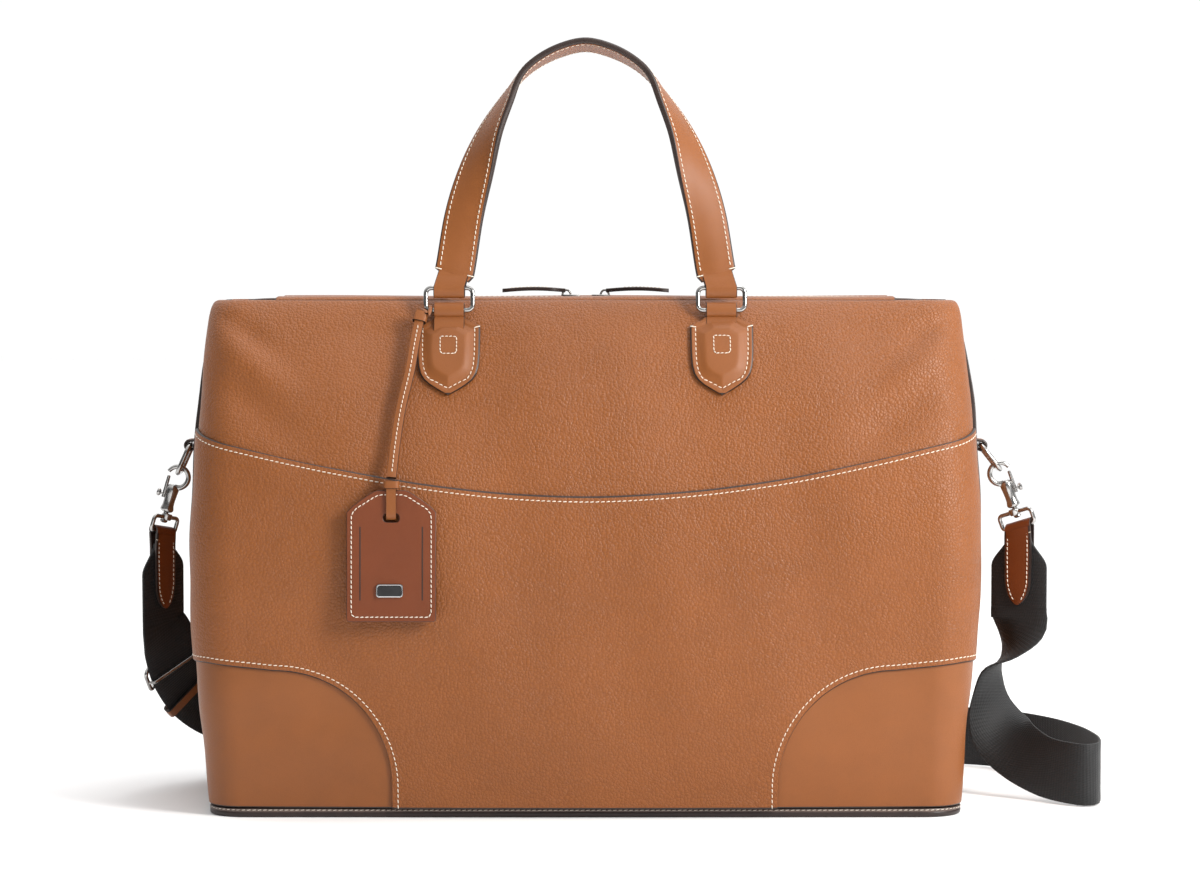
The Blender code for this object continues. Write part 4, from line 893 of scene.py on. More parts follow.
def lining():
    z = (0.0112 + (0.3140 - 0.0112) * np.linspace(0, 1, 60))[:, None]
    columns = np.linspace(-1, 1, 241)[None, :]
    s = columns * 2 * side_middle(z)
    ripple = 0.0007 * np.sin(s * 60 + 3 * np.sin(z * 40)) * np.clip((z - 0.02) / 0.1, 0, 1)
    wall = bag_surface(s, z, LINING_DEPTH + ripple)
    low = wall[0]
    middle = np.array([0.0, 0.0, low[0, 2]])
    floor = middle + (low - middle) * np.linspace(0.02, 0.98, 12)[:, None, None]
    points = np.concatenate([floor, wall])
    points[:, -1] = points[:, 0]
    normals = unit(np.cross(np.gradient(points, axis=1), np.gradient(points, axis=0)))
    run = np.broadcast_to(columns * 0.7, points.shape[:2])
    climb = np.broadcast_to((np.arange(len(points)) * 0.005)[:, None], points.shape[:2])
    uv = np.stack([run, climb], axis=-1)
    piece = leather_sheet("lining_bag", points, normals, 0.0006, [LINING, LINING], rounding=0.0002, uv=uv)
    finish_piece(piece, "bag", "lining_cloth", "lining")


# ---- top and zip ---------------------------------------------------------------------------------------


def top_flap(name, back):
    """Leather from the fold to the zip."""
    x = (spaced(2 * FLAP_HALF, 0.0034) - 0.5) * 2 * FLAP_HALF
    y = np.concatenate([
        np.linspace(-0.0462, -0.0405, 9), np.linspace(-0.0385, -0.0105, 12), [-0.0100, -0.0095]
    ])
    grid_x, grid_y = np.meshgrid(x, y)
    rise = 0.0003 * np.sin(grid_x * 33 + back) + 0.0007 * hump(grid_y, -0.026, 0.012)
    edge = np.clip((-0.0425 - grid_y) / 0.004, 0, 1)
    height = TOP_Z - 0.0001 + rise * (1 - edge) - 0.0016 * edge**2 - 0.0010 * edge
    points = np.stack([grid_x, grid_y, height], axis=-1)
    normals = unit(np.cross(np.gradient(points, axis=1), np.gradient(points, axis=0)))
    stitches_y = np.full(200, -0.0095 - 0.0030)
    line = np.stack([np.linspace(-0.198, 0.198, 200), stitches_y, np.full(200, TOP_Z + 0.0001)], axis=1)
    if back:
        points, normals = points * np.array([1, -1, 1]), normals * np.array([1, -1, 1])
        line = line * np.array([1, -1, 1])
    body = "mouth_" + name
    piece = leather_sheet(
        f"top_flap_{name}_leather", points, normals, 0.0016, [PEBBLED, DARK_EDGE], flip=back
    )
    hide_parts(f"top_flap_{name}")
    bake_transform(piece)
    up = np.tile([0.0, 0.0, 1.0], (len(line), 1))
    finish_piece(stitching(f"top_flap_{name}_stitches", [(line, up)]), body, "grained_leather")


def zip_side(name, back):
    """Woven tape under the leather, and one row of separate teeth."""
    turn = 1 if back else -1
    body = "mouth_" + name
    top = TOP_Z - 0.0019
    x = np.linspace(-0.198, 0.198, 200)
    y = np.linspace(0.0022, 0.0200, 8)
    grid_x, grid_y = np.meshgrid(x, y)
    height = top + 0.0002 * np.sin(grid_x * 70) * np.clip((grid_y - 0.003) / 0.01, 0, 1)
    points = np.stack([grid_x, grid_y * turn, height], axis=-1)
    normals = np.zeros_like(points) + np.array([0, 0, 1.0])
    uv = np.stack([grid_x, grid_y], axis=-1)
    piece = leather_sheet(
        f"zip_tape_{name}_cloth", points, normals, 0.0007, [TAPE, TAPE], flip=not back, rounding=0.0002, uv=uv
    )
    finish_piece(fix_normals(piece), body, "zip_tape", f"zip_tape_{name}")
    verts, faces, count = [], [], 0
    base = np.array(rounded_box_outline(0.00055, 0.0008, 0.0003, 2))
    offset = 0.5 if back else 0.0
    for k in range(198):
        at = -0.197 + 0.002 * (k + offset)
        for reach, grow in ((0.0004, 0.6), (0.0007, 1.0), (0.0030, 1.0), (0.0034, 0.8)):
            ring = np.stack(
                [at + base[:, 0] * grow, np.full(len(base), reach * turn), top - 0.0002 + base[:, 1] * grow],
                axis=1
            )
            verts.append(ring)
        faces += [tuple(int(i) + count for i in f) for f in lattice(4, len(base), closed=True)]
        faces += [
            tuple(range(count, count + len(base)))[::-1],
            tuple(range(count + 3 * len(base), count + 4 * len(base)))
        ]
        count += 4 * len(base)
    teeth = fix_normals(add_mesh(
        f"zip_teeth_{name}_row", np.concatenate(verts), faces, [ZIP_METAL], None, 40.0
    ))
    finish_piece(teeth, body, "polished_metal", f"zip_teeth_{name}")


def zip_slider(side, name):
    x = side * 0.0095
    top = TOP_Z - 0.0002
    plate = sweep(
        f"zip_slider_{name}_body",
        [(x - 0.0055 + 0.011 * k / 8, 0, top + 0.0007) for k in range(9)],
        [(0, 1, 0)] * 9,
        [(0, 0, 1)] * 9,
        rounded_box_outline(0.0046, 0.0009, 0.0005, 3),
        [ZIP_METAL],
        scale=[(0.55 + 0.45 * math.sin(math.pi * (0.15 + 0.7 * k / 8)), 1.0) for k in range(9)],
    )
    pin = x + side * 0.0030
    bridge = round_bar(
        f"zip_slider_{name}_bridge",
        [
            (pin + 0.0028 * math.cos(t), 0, top + 0.0006 + 0.0040 * math.sin(t))
            for t in np.linspace(0, math.pi, 13)
        ],
        0.0007,
        ZIP_METAL,
        sides=10,
    )
    under = sweep(
        f"zip_slider_{name}_under",
        [(x - 0.005, -0.0024, TOP_Z - 0.0048), (x + 0.005, -0.0024, TOP_Z - 0.0048)],
        [(0, 1, 0)] * 2,
        [(0, 0, 1)] * 2,
        rounded_box_outline(0.0022, 0.0005, 0.0003, 2),
        [ZIP_METAL],
    )
    web = sweep(
        f"zip_slider_{name}_web",
        [(x - 0.0045, 0, TOP_Z - 0.0022), (x + 0.0045, 0, TOP_Z - 0.0022)],
        [(0, 1, 0)] * 2,
        [(0, 0, 1)] * 2,
        rounded_box_outline(0.0003, 0.0026, 0.0001, 1),
        [ZIP_METAL],
    )
    piece = join(f"zip_slider_{name}_metal", [plate, bridge, under, web])
    finish_piece(piece, f"slider_{name}", "polished_metal", f"zip_slider_{name}")
    # the pull: a narrow leather tongue on a small link, lying outwards
    start, height = pin, TOP_Z + 0.0040
    count = 24
    reach = np.linspace(0.0008, 0.0420, count)
    wide = np.interp(reach, [0.0008, 0.006, 0.010, 0.038, 0.0420], [0.0022, 0.0026, 0.0042, 0.0046, 0.0026])
    centres = [(start + side * r, 0, height + 0.0012 * math.sin(r / 0.042 * math.pi)) for r in reach]
    tongue = sweep(
        f"zip_pull_{name}_tongue",
        centres,
        [(0, 1, 0)] * count,
        [(0, 0, 1)] * count,
        [
            (1, -0.0009), (1.0, 0.0009), (0.82, 0.00125), (-0.82, 0.00125), (-1.0, 0.0009), (-1, -0.0009),
            (-0.8, -0.00125), (0.8, -0.00125)
        ],
        [SMOOTH, DARK_EDGE],
        slots=[1, 1, 0, 1, 1, 1, 0, 1],
        scale=[(w, 1.0) for w in wide],
    )
    piece = finish_piece(tongue, f"pull_{name}", "smooth_leather", f"zip_pull_{name}")
    line = np.array([
        (start + side * r, 0.0, height + 0.0012 * math.sin(r / 0.042 * math.pi) + 0.0013)
        for r in np.linspace(0.012, 0.037, 30)
    ])
    rows = []
    for offset in (-0.0026, 0.0026):
        rows.append((
            line + np.array([0, offset, 0]), np.tile([0, 0, 1.0], (30, 1)),
            {"pitch": 0.0026, "length": 0.0019, "radius": 0.00026}
        ))
    finish_piece(stitching(f"zip_pull_{name}_stitches", rows), f"pull_{name}", "smooth_leather")


def zip_end(side, name):
    x = side * (FLAP_HALF + 0.0104)
    centres = [
        (x + side * (k / 12 - 0.5) * 0.0192, 0, TOP_Z - 0.0019 - 0.0008 * (k / 12) ** 2) for k in range(13)
    ]
    piece = sweep(
        f"zip_end_{name}_leather",
        centres,
        [(0, 1, 0)] * 13,
        [(0, 0, 1)] * 13,
        [
            (0.0098, -0.0008), (0.0100, 0.0003), (0.0092, 0.0010), (-0.0092, 0.0010), (-0.0100, 0.0003),
            (-0.0098, -0.0008)
        ],
        [SMOOTH, DARK_EDGE],
        slots=[1, 1, 0, 1, 1, 0],
    )
    finish_piece(piece, "bag", "smooth_leather", f"zip_end_{name}")


# ---- handles, rings and chapes -------------------------------------------------------------------------

# height and half-width of the shield, from its point to its neck
SHIELD = [
    (0.2670, 0.0000),
    (0.2702, 0.0062),
    (0.2735, 0.0118),
    (0.2765, 0.0155),
    (0.2800, 0.0179),
    (0.2850, 0.0193),
    (0.2920, 0.0199),
    (0.3000, 0.0200),
    (0.3080, 0.0200),
    (0.3098, 0.0194),
    (0.3108, 0.0168),
    (0.3118, 0.0142),
    (0.3130, 0.0120),
    (0.3144, 0.0106),
    (0.3160, NECK_HALF),
    (0.3180, NECK_HALF),
]


def chape(side, name, back):
    """Padded shield with a stitched border, a stitched box and a loop round its ring."""
    table = np.array(SHIELD)
    where = f"{name}_{'left' if side < 0 else 'right'}"
    z = np.concatenate([np.linspace(0.2671, 0.2698, 4), np.linspace(0.2705, 0.3152, 66)])
    half = np.interp(z, table[:, 0], table[:, 1])
    f = np.concatenate([[-1, -0.955, -0.925], np.linspace(-0.88, 0.88, 35), [0.925, 0.955, 1]])
    local_x = half[:, None] * f[None, :]
    x = side * HANDLE_X + local_x
    grid_z = np.broadcast_to(z[:, None], x.shape)
    outline = np.vstack([
        np.stack([table[:-1, 1], table[:-1, 0]], 1), np.stack([-table[:-1, 1], table[:-1, 0]], 1)[::-1]
    ])
    dense = resample(np.hstack([outline, np.zeros((len(outline), 1))]), 0.0006)[:, :2]
    flat = np.stack([local_x, grid_z], axis=-1)
    away = np.sqrt(((flat[:, :, None, :] - dense[None, None]) ** 2).sum(-1)).min(-1)
    swell = np.clip((away - 0.0042) / 0.0060, 0, 1)
    swell = swell * swell * (3 - 2 * swell)
    height = 0.0024 + 0.0018 * swell - 0.00045 * hump(away, 0.0034, 0.0007)
    normal = bag_normal(x, grid_z, back)
    points = bag_surface(x, grid_z, UNDER - 0.0003, back) + normal * height[..., None]
    patch = leather_sheet(
        f"chape_{where}_patch", points, normal, 0.0022, [SMOOTH, DARK_EDGE], flip=back, rounding=0.0006
    )
    loop = neck_loop(f"chape_{where}_loop", side, back)
    piece = join(f"chape_{where}_leather", [patch, loop])
    finish_piece(piece, "bag", "smooth_leather", f"chape_{where}")

    def on_patch(px, pz, lift=0.0):
        px, pz = np.asarray(px, float), np.asarray(pz, float)
        n = bag_normal(side * HANDLE_X + px, pz, back)
        d = np.sqrt(((np.stack([px, pz], -1)[:, None] - dense[None]) ** 2).sum(-1)).min(-1)
        swell = np.clip((d - 0.0042) / 0.0060, 0, 1)
        swell = swell * swell * (3 - 2 * swell)
        rise = 0.0024 + 0.0018 * swell - 0.00045 * hump(d, 0.0034, 0.0007) + lift
        return bag_surface(side * HANDLE_X + px, pz, UNDER - 0.0003, back) + n * rise[..., None], n

    inset = table[(table[:, 0] > 0.2719) & (table[:, 0] < 0.3082)]
    right = np.stack([inset[:, 1] - 0.0034, inset[:, 0]], axis=1)
    right[0] = (0.0090, 0.2755)
    border = np.vstack([right[::-1], [(0.0, 0.2709)], right * np.array([-1, 1])])
    border = resample(np.hstack([border, np.zeros((len(border), 1))]), 0.0012)[:, :2]
    rows = [on_patch(border[:, 0], border[:, 1])]
    for mark in (-1, 1):
        hook = np.linspace(0.0, 1.0, 12)
        rows.append((
            *on_patch(mark * (0.0166 + 0.0030 * hook), 0.3082 + 0.0006 * hook),
            {"pitch": 0.0017, "radius": 0.0004}
        ))
    box_x = np.array([-0.0052, 0.0052, 0.0052, -0.0052, -0.0052])
    box_z = np.array([0.3020, 0.3020, 0.2915, 0.2915, 0.3020])
    corners = resample(np.stack([box_x, box_z, 0 * box_x], 1), 0.0010)
    rows.append((*on_patch(corners[:, 0], corners[:, 1], 0.0001), {"pitch": 0.0026, "length": 0.0020}))
    finish_piece(stitching(f"chape_{where}_stitches", rows), "bag", "smooth_leather")


# the rear loops are shorter than the front ones, to clear each other as they swing
CHAPE_LOOP_REACH = {"front": 0.0044, "back": 0.0034}
HANDLE_LOOP_REACH = {"handle_front": 0.0058, "handle_rear": 0.0031}


def neck_loop(name, side, back):
    """Leather strap from the top of a shield, round the ring's lower bar and back behind it."""
    turn = np.linspace(math.radians(-62), math.radians(190), 30)
    bar = np.array([-BAR_Y, BAR_Z])
    height = CHAPE_LOOP_REACH["back" if back else "front"]
    arc = np.stack([bar[0] - 0.0031 * np.cos(turn), bar[1] + height * np.sin(turn)], axis=1)
    low = []
    for z, rise in ((0.3060, 0.0004), (0.3095, 0.0011), (0.3120, 0.0017), (0.3142, 0.0022)):
        p = bag_surface(HANDLE_X, z, UNDER - 0.0003) + bag_normal(HANDLE_X, z) * rise
        low.append((p[1], p[2]))
    path = curve_through(np.vstack([low, arc[3::3]]), 5)
    ahead = unit(np.gradient(path, axis=0))
    count = len(path)
    flip = -1.0 if back else 1.0
    centres = np.stack([np.full(count, side * HANDLE_X), path[:, 0] * flip, path[:, 1]], axis=1)
    ups = np.stack([np.zeros(count), -ahead[:, 1] * flip, ahead[:, 0]], axis=1)
    wides = np.tile([1.0, 0.0, 0.0], (count, 1))
    half, t = NECK_HALF, 0.00085
    outline = [
        (half - 0.0004, -t), (half, 0.0), (half - 0.0004, t), (-half + 0.0004, t), (-half, 0.0),
        (-half + 0.0004, -t)
    ]
    return sweep(name, centres, wides, ups, outline, [SMOOTH, DARK_EDGE], slots=[1, 1, 0, 1, 1, 0])


def tilted(degrees):
    turn = math.radians(degrees)
    return np.array([0.0, math.sin(turn), math.cos(turn)])


def handle_ring(side, where, tilt, lower, body):
    up = tilted(tilt)
    outline = np.array(rounded_box_outline(RING_HALF_WIDTH, RING_HEIGHT / 2, 0.0034, 6))
    path = np.hstack([outline, np.zeros((len(outline), 1))])
    path = np.vstack([path, path[:1]])
    dense = resample(path, 0.0012)[:-1]
    front = np.cross([1.0, 0.0, 0.0], up)
    points = lower + np.outer(
        dense[:, 0] + side * HANDLE_X, [1.0, 0, 0]
    ) + np.outer(dense[:, 1] + RING_HEIGHT / 2, up)
    piece = round_bar(f"ring_{where}_metal", points, RING_WIRE, CHROME, True, 18, 1.0, tuple(front))
    finish_piece(piece, body, "polished_metal", f"ring_{where}")


def handle_frames(tilt, upper, samples=160):
    """Along the handle's middle line: place, direction across, direction of its face, height above the rings."""
    up = tilted(tilt)
    front = np.cross([1.0, 0.0, 0.0], up)
    left = np.array(HANDLE_ARCH) * np.array([-1, 1, 1])
    line = curve_through(np.vstack([left, HANDLE_ARCH[-2::-1]]), 14)
    line = resample(np.stack([line[:, 0], line[:, 1], 0 * line[:, 0], line[:, 2]], 1), count=samples)
    x, h, twist = line[:, 0], line[:, 1], np.radians(line[:, 3])
    along = unit(np.stack([np.gradient(x), np.gradient(h)], axis=1))
    outward = -along[:, 1:2] * np.array([1.0, 0, 0]) + along[:, :1] * up
    wide = -outward * np.cos(twist)[:, None] + front * np.sin(twist)[:, None]
    face = front * np.cos(twist)[:, None] + outward * np.sin(twist)[:, None]
    centre = upper + x[:, None] * np.array([1.0, 0, 0]) + h[:, None] * up
    return centre, wide, face, h


def handle(name, tilt, upper, body):
    """Two-layer strap with painted edges, two rows of stitches on each face, and a loop at each ring."""
    centre, wide, face, h = handle_frames(tilt, upper)
    t = HANDLE_THICK / 2
    w = HANDLE_HALF
    reach = HANDLE_LOOP_REACH[name]
    outline = [
        (w - 0.0010, -t), (
            w - 0.0003, -t * 0.80
        ), (w, -t * 0.35), (w, t * 0.35), (w - 0.0003, t * 0.80), (w - 0.0010, t),
        (w * 0.70, t * 1.02), (w * 0.35, t * 1.22), (0.0, t * 1.30), (
            -w * 0.35, t * 1.22
        ), (-w * 0.70, t * 1.02),
        (-w + 0.0010, t), (-w + 0.0003, t * 0.80), (-w, t * 0.35), (-w, -t * 0.35), (
            -w + 0.0003, -t * 0.80
        ), (-w + 0.0010, -t),
        (-w * 0.5, -t * 1.08), (0.0, -t * 1.10), (w * 0.5, -t * 1.08),
    ]
    slots = [1, 1, 1, 1, 1] + [0] * 6 + [1, 1, 1, 1, 1] + [0] * 4
    keep = h > 0.0066
    grow = np.clip((h[keep] - 0.0066) / 0.0030, 0, 1)
    grow = grow * grow * (3 - 2 * grow)
    scale = np.stack([0.80 + 0.20 * grow, 0.72 + 0.28 * grow], axis=1)
    strap = sweep(
        f"{name}_strap", centre[keep], wide[keep], face[keep], outline, [SMOOTH, DARK_EDGE], slots, scale,
        smooth=55.0
    )
    up = tilted(tilt)
    front = np.cross([1.0, 0.0, 0.0], up)
    loops = []
    for side in (-1, 1):
        arc = np.linspace(0, math.pi, 17)
        rise = [(1.20, 0.0125), (1.30, 0.0100), (1.70, 0.0070), (2.6, 0.0038)]
        shape = [(d * 0.001, r) for d, r in rise] + [
            (0.0032 * math.cos(a), -reach * math.sin(a)) for a in arc
        ]
        shape += [(-d * 0.001, r) for d, r in rise[::-1]]
        path = curve_through(shape, 3)
        lean = np.clip(path[:, 1] / 0.0125, 0, 1) * 0.0036
        places = (
            upper
            + np.outer(side * (HANDLE_X - lean), [1.0, 0, 0])
            + path[:, :1] * front
            + path[:, 1:] * up
        )
        ahead = unit(np.gradient(path, axis=0))
        ups = ahead[:, 1:] * front - ahead[:, :1] * up
        half, q = NECK_HALF + 0.0003, 0.00090
        section_line = [
            (half - 0.0005, -q), (half, 0), (half - 0.0005, q), (-half + 0.0005, q), (-half, 0),
            (-half + 0.0005, -q)
        ]
        loops.append(
            sweep(
                f"{name}_loop", places, np.tile([1.0, 0, 0], (len(path), 1)), ups, section_line,
                [SMOOTH, DARK_EDGE], [1, 1, 0, 1, 1, 0]
            )
        )
    piece = join(f"{name}_leather", [strap, *loops])
    finish_piece(piece, body, "smooth_leather", name)
    keep = h > 0.0105
    rows = []
    for edge in (-1, 1):
        for sign in (-1, 1):
            line = centre[keep] + wide[keep] * edge * (w - 0.0031) + face[keep] * sign * (t + 0.0001)
            rows.append((line, face[keep] * sign))
    for side in (-1, 1):
        index = int(np.argmin(np.abs(h - 0.0105) + (np.sign(centre[:, 0]) != side)))
        for edge in (-1, 1):
            mark = np.linspace(w - 0.0042, w - 0.0002, 8)
            line = centre[index] + wide[index] * edge * mark[:, None] + face[index] * (t + 0.0002)
            rows.append((
                line, np.tile(face[index], (8, 1)), {"pitch": 0.0019, "radius": 0.00042, "slant": 0.0}
            ))
    finish_piece(stitching(f"{name}_stitches", rows), body, "smooth_leather")


# ---- shoulder strap and clips --------------------------------------------------------------------------

STRAP_ROUTE = [
    ((285, 0, 124), (0.86, -0.51, 0.0)),
    ((285, 0, 119), (0.86, -0.51, 0.0)),
    ((285, 0, 113), (0.86, -0.51, 0.0)),
    ((279, 2, 97), (0.25, -0.95, 0.0)),
    ((268, 4, 80), (-0.45, -0.88, 0.0)),
    ((268, 1, 58), (-0.50, -0.62, -0.55)),
    ((277, -10, 37), (-0.30, -0.28, -0.91)),
    ((296, -32, 24), (-0.06, -0.05, -1.0)),
    ((316, -54, 21), (0, 0, -1)),
    ((328, -55, 21), (0, 0, -1)),
    ((334, -36, 21), (0, 0, -1)),
    ((335, -5, 21), (0, 0, -1)),
    ((330, 38, 21), (0, 0, -1)),
    ((317, 82, 21), (0, 0, -1)),
    ((294, 120, 21), (0, 0, -1)),
    ((258, 145, 21), (0, 0, -1)),
    ((210, 156, 21), (0, 0, -1)),
    ((150, 160, 21), (0, 0, -1)),
    ((60, 162, 21), (0, 0, -1)),
    ((-30, 162, 21), (0, 0, -1)),
    ((-110, 158, 21), (0.02, 0, -1)),
    ((-170, 148, 23), (0.08, 0, -1)),
    ((-215, 128, 30), (-0.10, -0.10, -1.0)),
    ((-246, 96, 42), (-0.14, -0.32, -0.94)),
    ((-263, 62, 58), (-0.64, -0.40, -0.66)),
    ((-272, 34, 78), (-0.75, -0.40, -0.53)),
    ((-276, 20, 96), (-0.74, -0.45, -0.50)),
    ((-279.2, 10, 110), (-0.571, -0.812, -0.117)),
    ((-279.1, 9, 116), (-0.571, -0.812, -0.117)),
    ((-279, 8, 122), (-0.571, -0.812, -0.117)),
]
STRAP_OUTLINE = [
    (
        0.0192, -0.0009
    ), (0.0198, -0.0006), (0.0200, 0.0), (0.0198, 0.0006), (0.0192, 0.0009), (0.0120, 0.0008), (0.0, 0.00085),
    (-0.0120, 0.0008), (-0.0192, 0.0009), (-0.0198, 0.0006), (-0.0200, 0.0), (
        -0.0198, -0.0006
    ), (-0.0192, -0.0009), (-0.0120, -0.0008),
    (0.0, -0.00085), (0.0120, -0.0008),
]


def strap_path():
    rows = [(*(0.001 * v for v in centre), *wide) for centre, wide in STRAP_ROUTE]
    path = resample(curve_through(rows, 12), 0.0035)
    centre = path[:, :3]
    ahead = unit(np.gradient(centre, axis=0))
    wide = path[:, 3:]
    wide = unit(wide - (wide * ahead).sum(1, keepdims=True) * ahead)
    return centre, wide, unit(np.cross(ahead, wide))


def clip_points(side, d_tilt, hook_tilt):
    pin = np.array([side * 0.2590, 0.0, 0.2310])

    def down(tilt):
        turn = math.radians(tilt)
        return np.array([side * math.sin(turn), 0.0, -math.cos(turn)])

    lower = pin + down(d_tilt) * 0.0200
    axis = down(hook_tilt)
    claw = lower + axis * 0.0033
    return {"pin": pin, "lower": lower, "axis": axis, "claw": claw, "bar": claw + axis * 0.0370}


def side_tab(side, name, clip):
    """Leather tab: down the side wall, round the D-ring's bar and up behind itself."""
    z = np.linspace(0.2740, 0.2350, 14)
    on = bag_surface(side * side_middle(z), z, GUSSET_DEPTH - 0.0026)
    path = [(p[0], p[2]) for p in on]
    pin = clip["pin"]
    for turn in np.linspace(70, -190, 20):
        a = math.radians(turn)
        path.append((pin[0] + side * 0.0031 * math.cos(a), pin[2] + 0.0031 * math.sin(a)))
    path.append((on[-1][0] - side * 0.0008, 0.2325))
    path = curve_through(path, 2)
    ahead = unit(np.gradient(path, axis=0))
    count = len(path)
    centres = np.stack([path[:, 0], np.zeros(count), path[:, 1]], 1)
    ups = np.stack([-ahead[:, 1], np.zeros(count), ahead[:, 0]], 1)
    half, q = 0.0090, 0.0009
    outline = [
        (half - 0.0005, -q), (half, 0), (half - 0.0005, q), (-half + 0.0005, q), (-half, 0),
        (-half + 0.0005, -q)
    ]
    piece = sweep(
        f"side_tab_{name}_leather", centres, np.tile([0, 1.0, 0], (count, 1)), ups, outline,
        [SMOOTH, DARK_EDGE], [1, 1, 0, 1, 1, 0]
    )
    finish_piece(piece, "bag", "smooth_leather", f"side_tab_{name}")
    face = bag_normal(side * side_middle(z), z)
    rows = []
    for offset in (-0.0065, 0.0065):
        rows.append((on + face * 0.0010 + np.array([0, offset, 0]), face))
    finish_piece(stitching(f"side_tab_{name}_stitches", rows), "bag", "smooth_leather")


def d_ring(side, name, clip):
    down = unit(clip["lower"] - clip["pin"])
    outline = np.array(rounded_box_outline(0.0120, 0.0100, 0.0048, 6))
    path = np.vstack([outline, outline[:1]])
    dense = resample(np.hstack([path, np.zeros((len(path), 1))]), 0.0011)[:-1]
    middle = (clip["lower"] + clip["pin"]) / 2
    points = middle + np.outer(dense[:, 0], [0, 1.0, 0]) + np.outer(dense[:, 1], down)
    axis = np.cross([0, 1.0, 0], down)
    piece = round_bar(f"d_ring_{name}_metal", points, 0.0016, CHROME, True, 18, 1.0, tuple(axis))
    finish_piece(piece, f"d_ring_{name}", "polished_metal", f"d_ring_{name}")


def snap_hook(side, name, clip):
    axis, centre = clip["axis"], clip["claw"]
    inward = np.cross(axis, [0, 1.0, 0]) * side

    def at(u, w, y=0.0):
        return centre + inward * u + axis * w + np.array([0, y, 0])

    turns = np.radians(90 + 250 * np.linspace(0, 1, 40))
    arc = [at(0.0070 * math.cos(t), 0.0070 * math.sin(t)) for t in turns]
    radii = np.interp(np.linspace(0, 1, 40), [0, 0.15, 0.8, 1.0], [0.0022, 0.0018, 0.0016, 0.0013])
    claw = round_bar("claw", arc, radii, CHROME, sides=18)
    profile = [
        (
            0.0052, 0.0006
        ), (0.0055, 0.0024), (0.0062, 0.0034), (0.0074, 0.0040), (0.0090, 0.0043), (0.0120, 0.0040),
        (
            0.0160, 0.0037
        ), (0.0195, 0.0038), (0.0212, 0.0043), (0.0224, 0.0044), (0.0232, 0.0040), (0.0238, 0.0030),
        (
            0.0242, 0.0016
        ), (0.0290, 0.0014), (0.0292, 0.0024), (0.0302, 0.0026), (0.0310, 0.0020), (0.0314, 0.0004),
    ]
    barrel = lathe("barrel", at(0.0012, 0.0), axis, profile, CHROME, 36)
    piece = join(f"hook_{name}_metal", [barrel, claw])
    finish_piece(piece, f"hook_{name}", "polished_metal", f"hook_{name}")
    rod_profile = [(0.0002, 0.0007), (0.0006, 0.0011), (0.0060, 0.0012), (0.0150, 0.0012)]
    rod = lathe("rod", at(0.0058, 0.0), axis, rod_profile, CHROME, 20)
    stem = [
        (-0.0005, 0.0009), (0.0026, 0.0010), (0.0030, 0.0019), (0.0036, 0.0025), (0.0046, 0.0026),
        (0.0053, 0.0021), (0.0056, 0.0006)
    ]
    knob = lathe("knob", at(0.0052, 0.0125), inward, stem, CHROME, 28)
    piece = join(f"hook_gate_{name}_metal", [rod, knob])
    finish_piece(piece, f"gate_{name}", "polished_metal", f"hook_gate_{name}")


def swivel(side, name, clip, across):
    axis, claw = clip["axis"], clip["claw"]
    top, foot = 0.0272, 0.0370
    outline = np.array(rounded_box_outline(0.0118, (foot - top) / 2, 0.0026, 6))
    path = np.vstack([outline, outline[:1]])
    dense = resample(np.hstack([path, np.zeros((len(path), 1))]), 0.0010)[:-1]
    middle = claw + axis * (top + foot) / 2
    points = middle + np.outer(dense[:, 0], across) + np.outer(dense[:, 1], axis)
    face = np.cross(across, axis)
    loop = round_bar("loop", points, 0.0014, CHROME, True, 16, 1.0, tuple(face))
    profile = [
        (0.0246, 0.0018), (0.0248, 0.0030), (0.0256, 0.0036), (0.0280, 0.0036), (0.0290, 0.0030),
        (0.0292, 0.0018)
    ]
    boss = lathe("boss", claw, axis, profile, CHROME, 30)
    piece = join(f"swivel_{name}_metal", [loop, boss])
    finish_piece(piece, f"clip_{name}", "polished_metal", f"swivel_{name}")


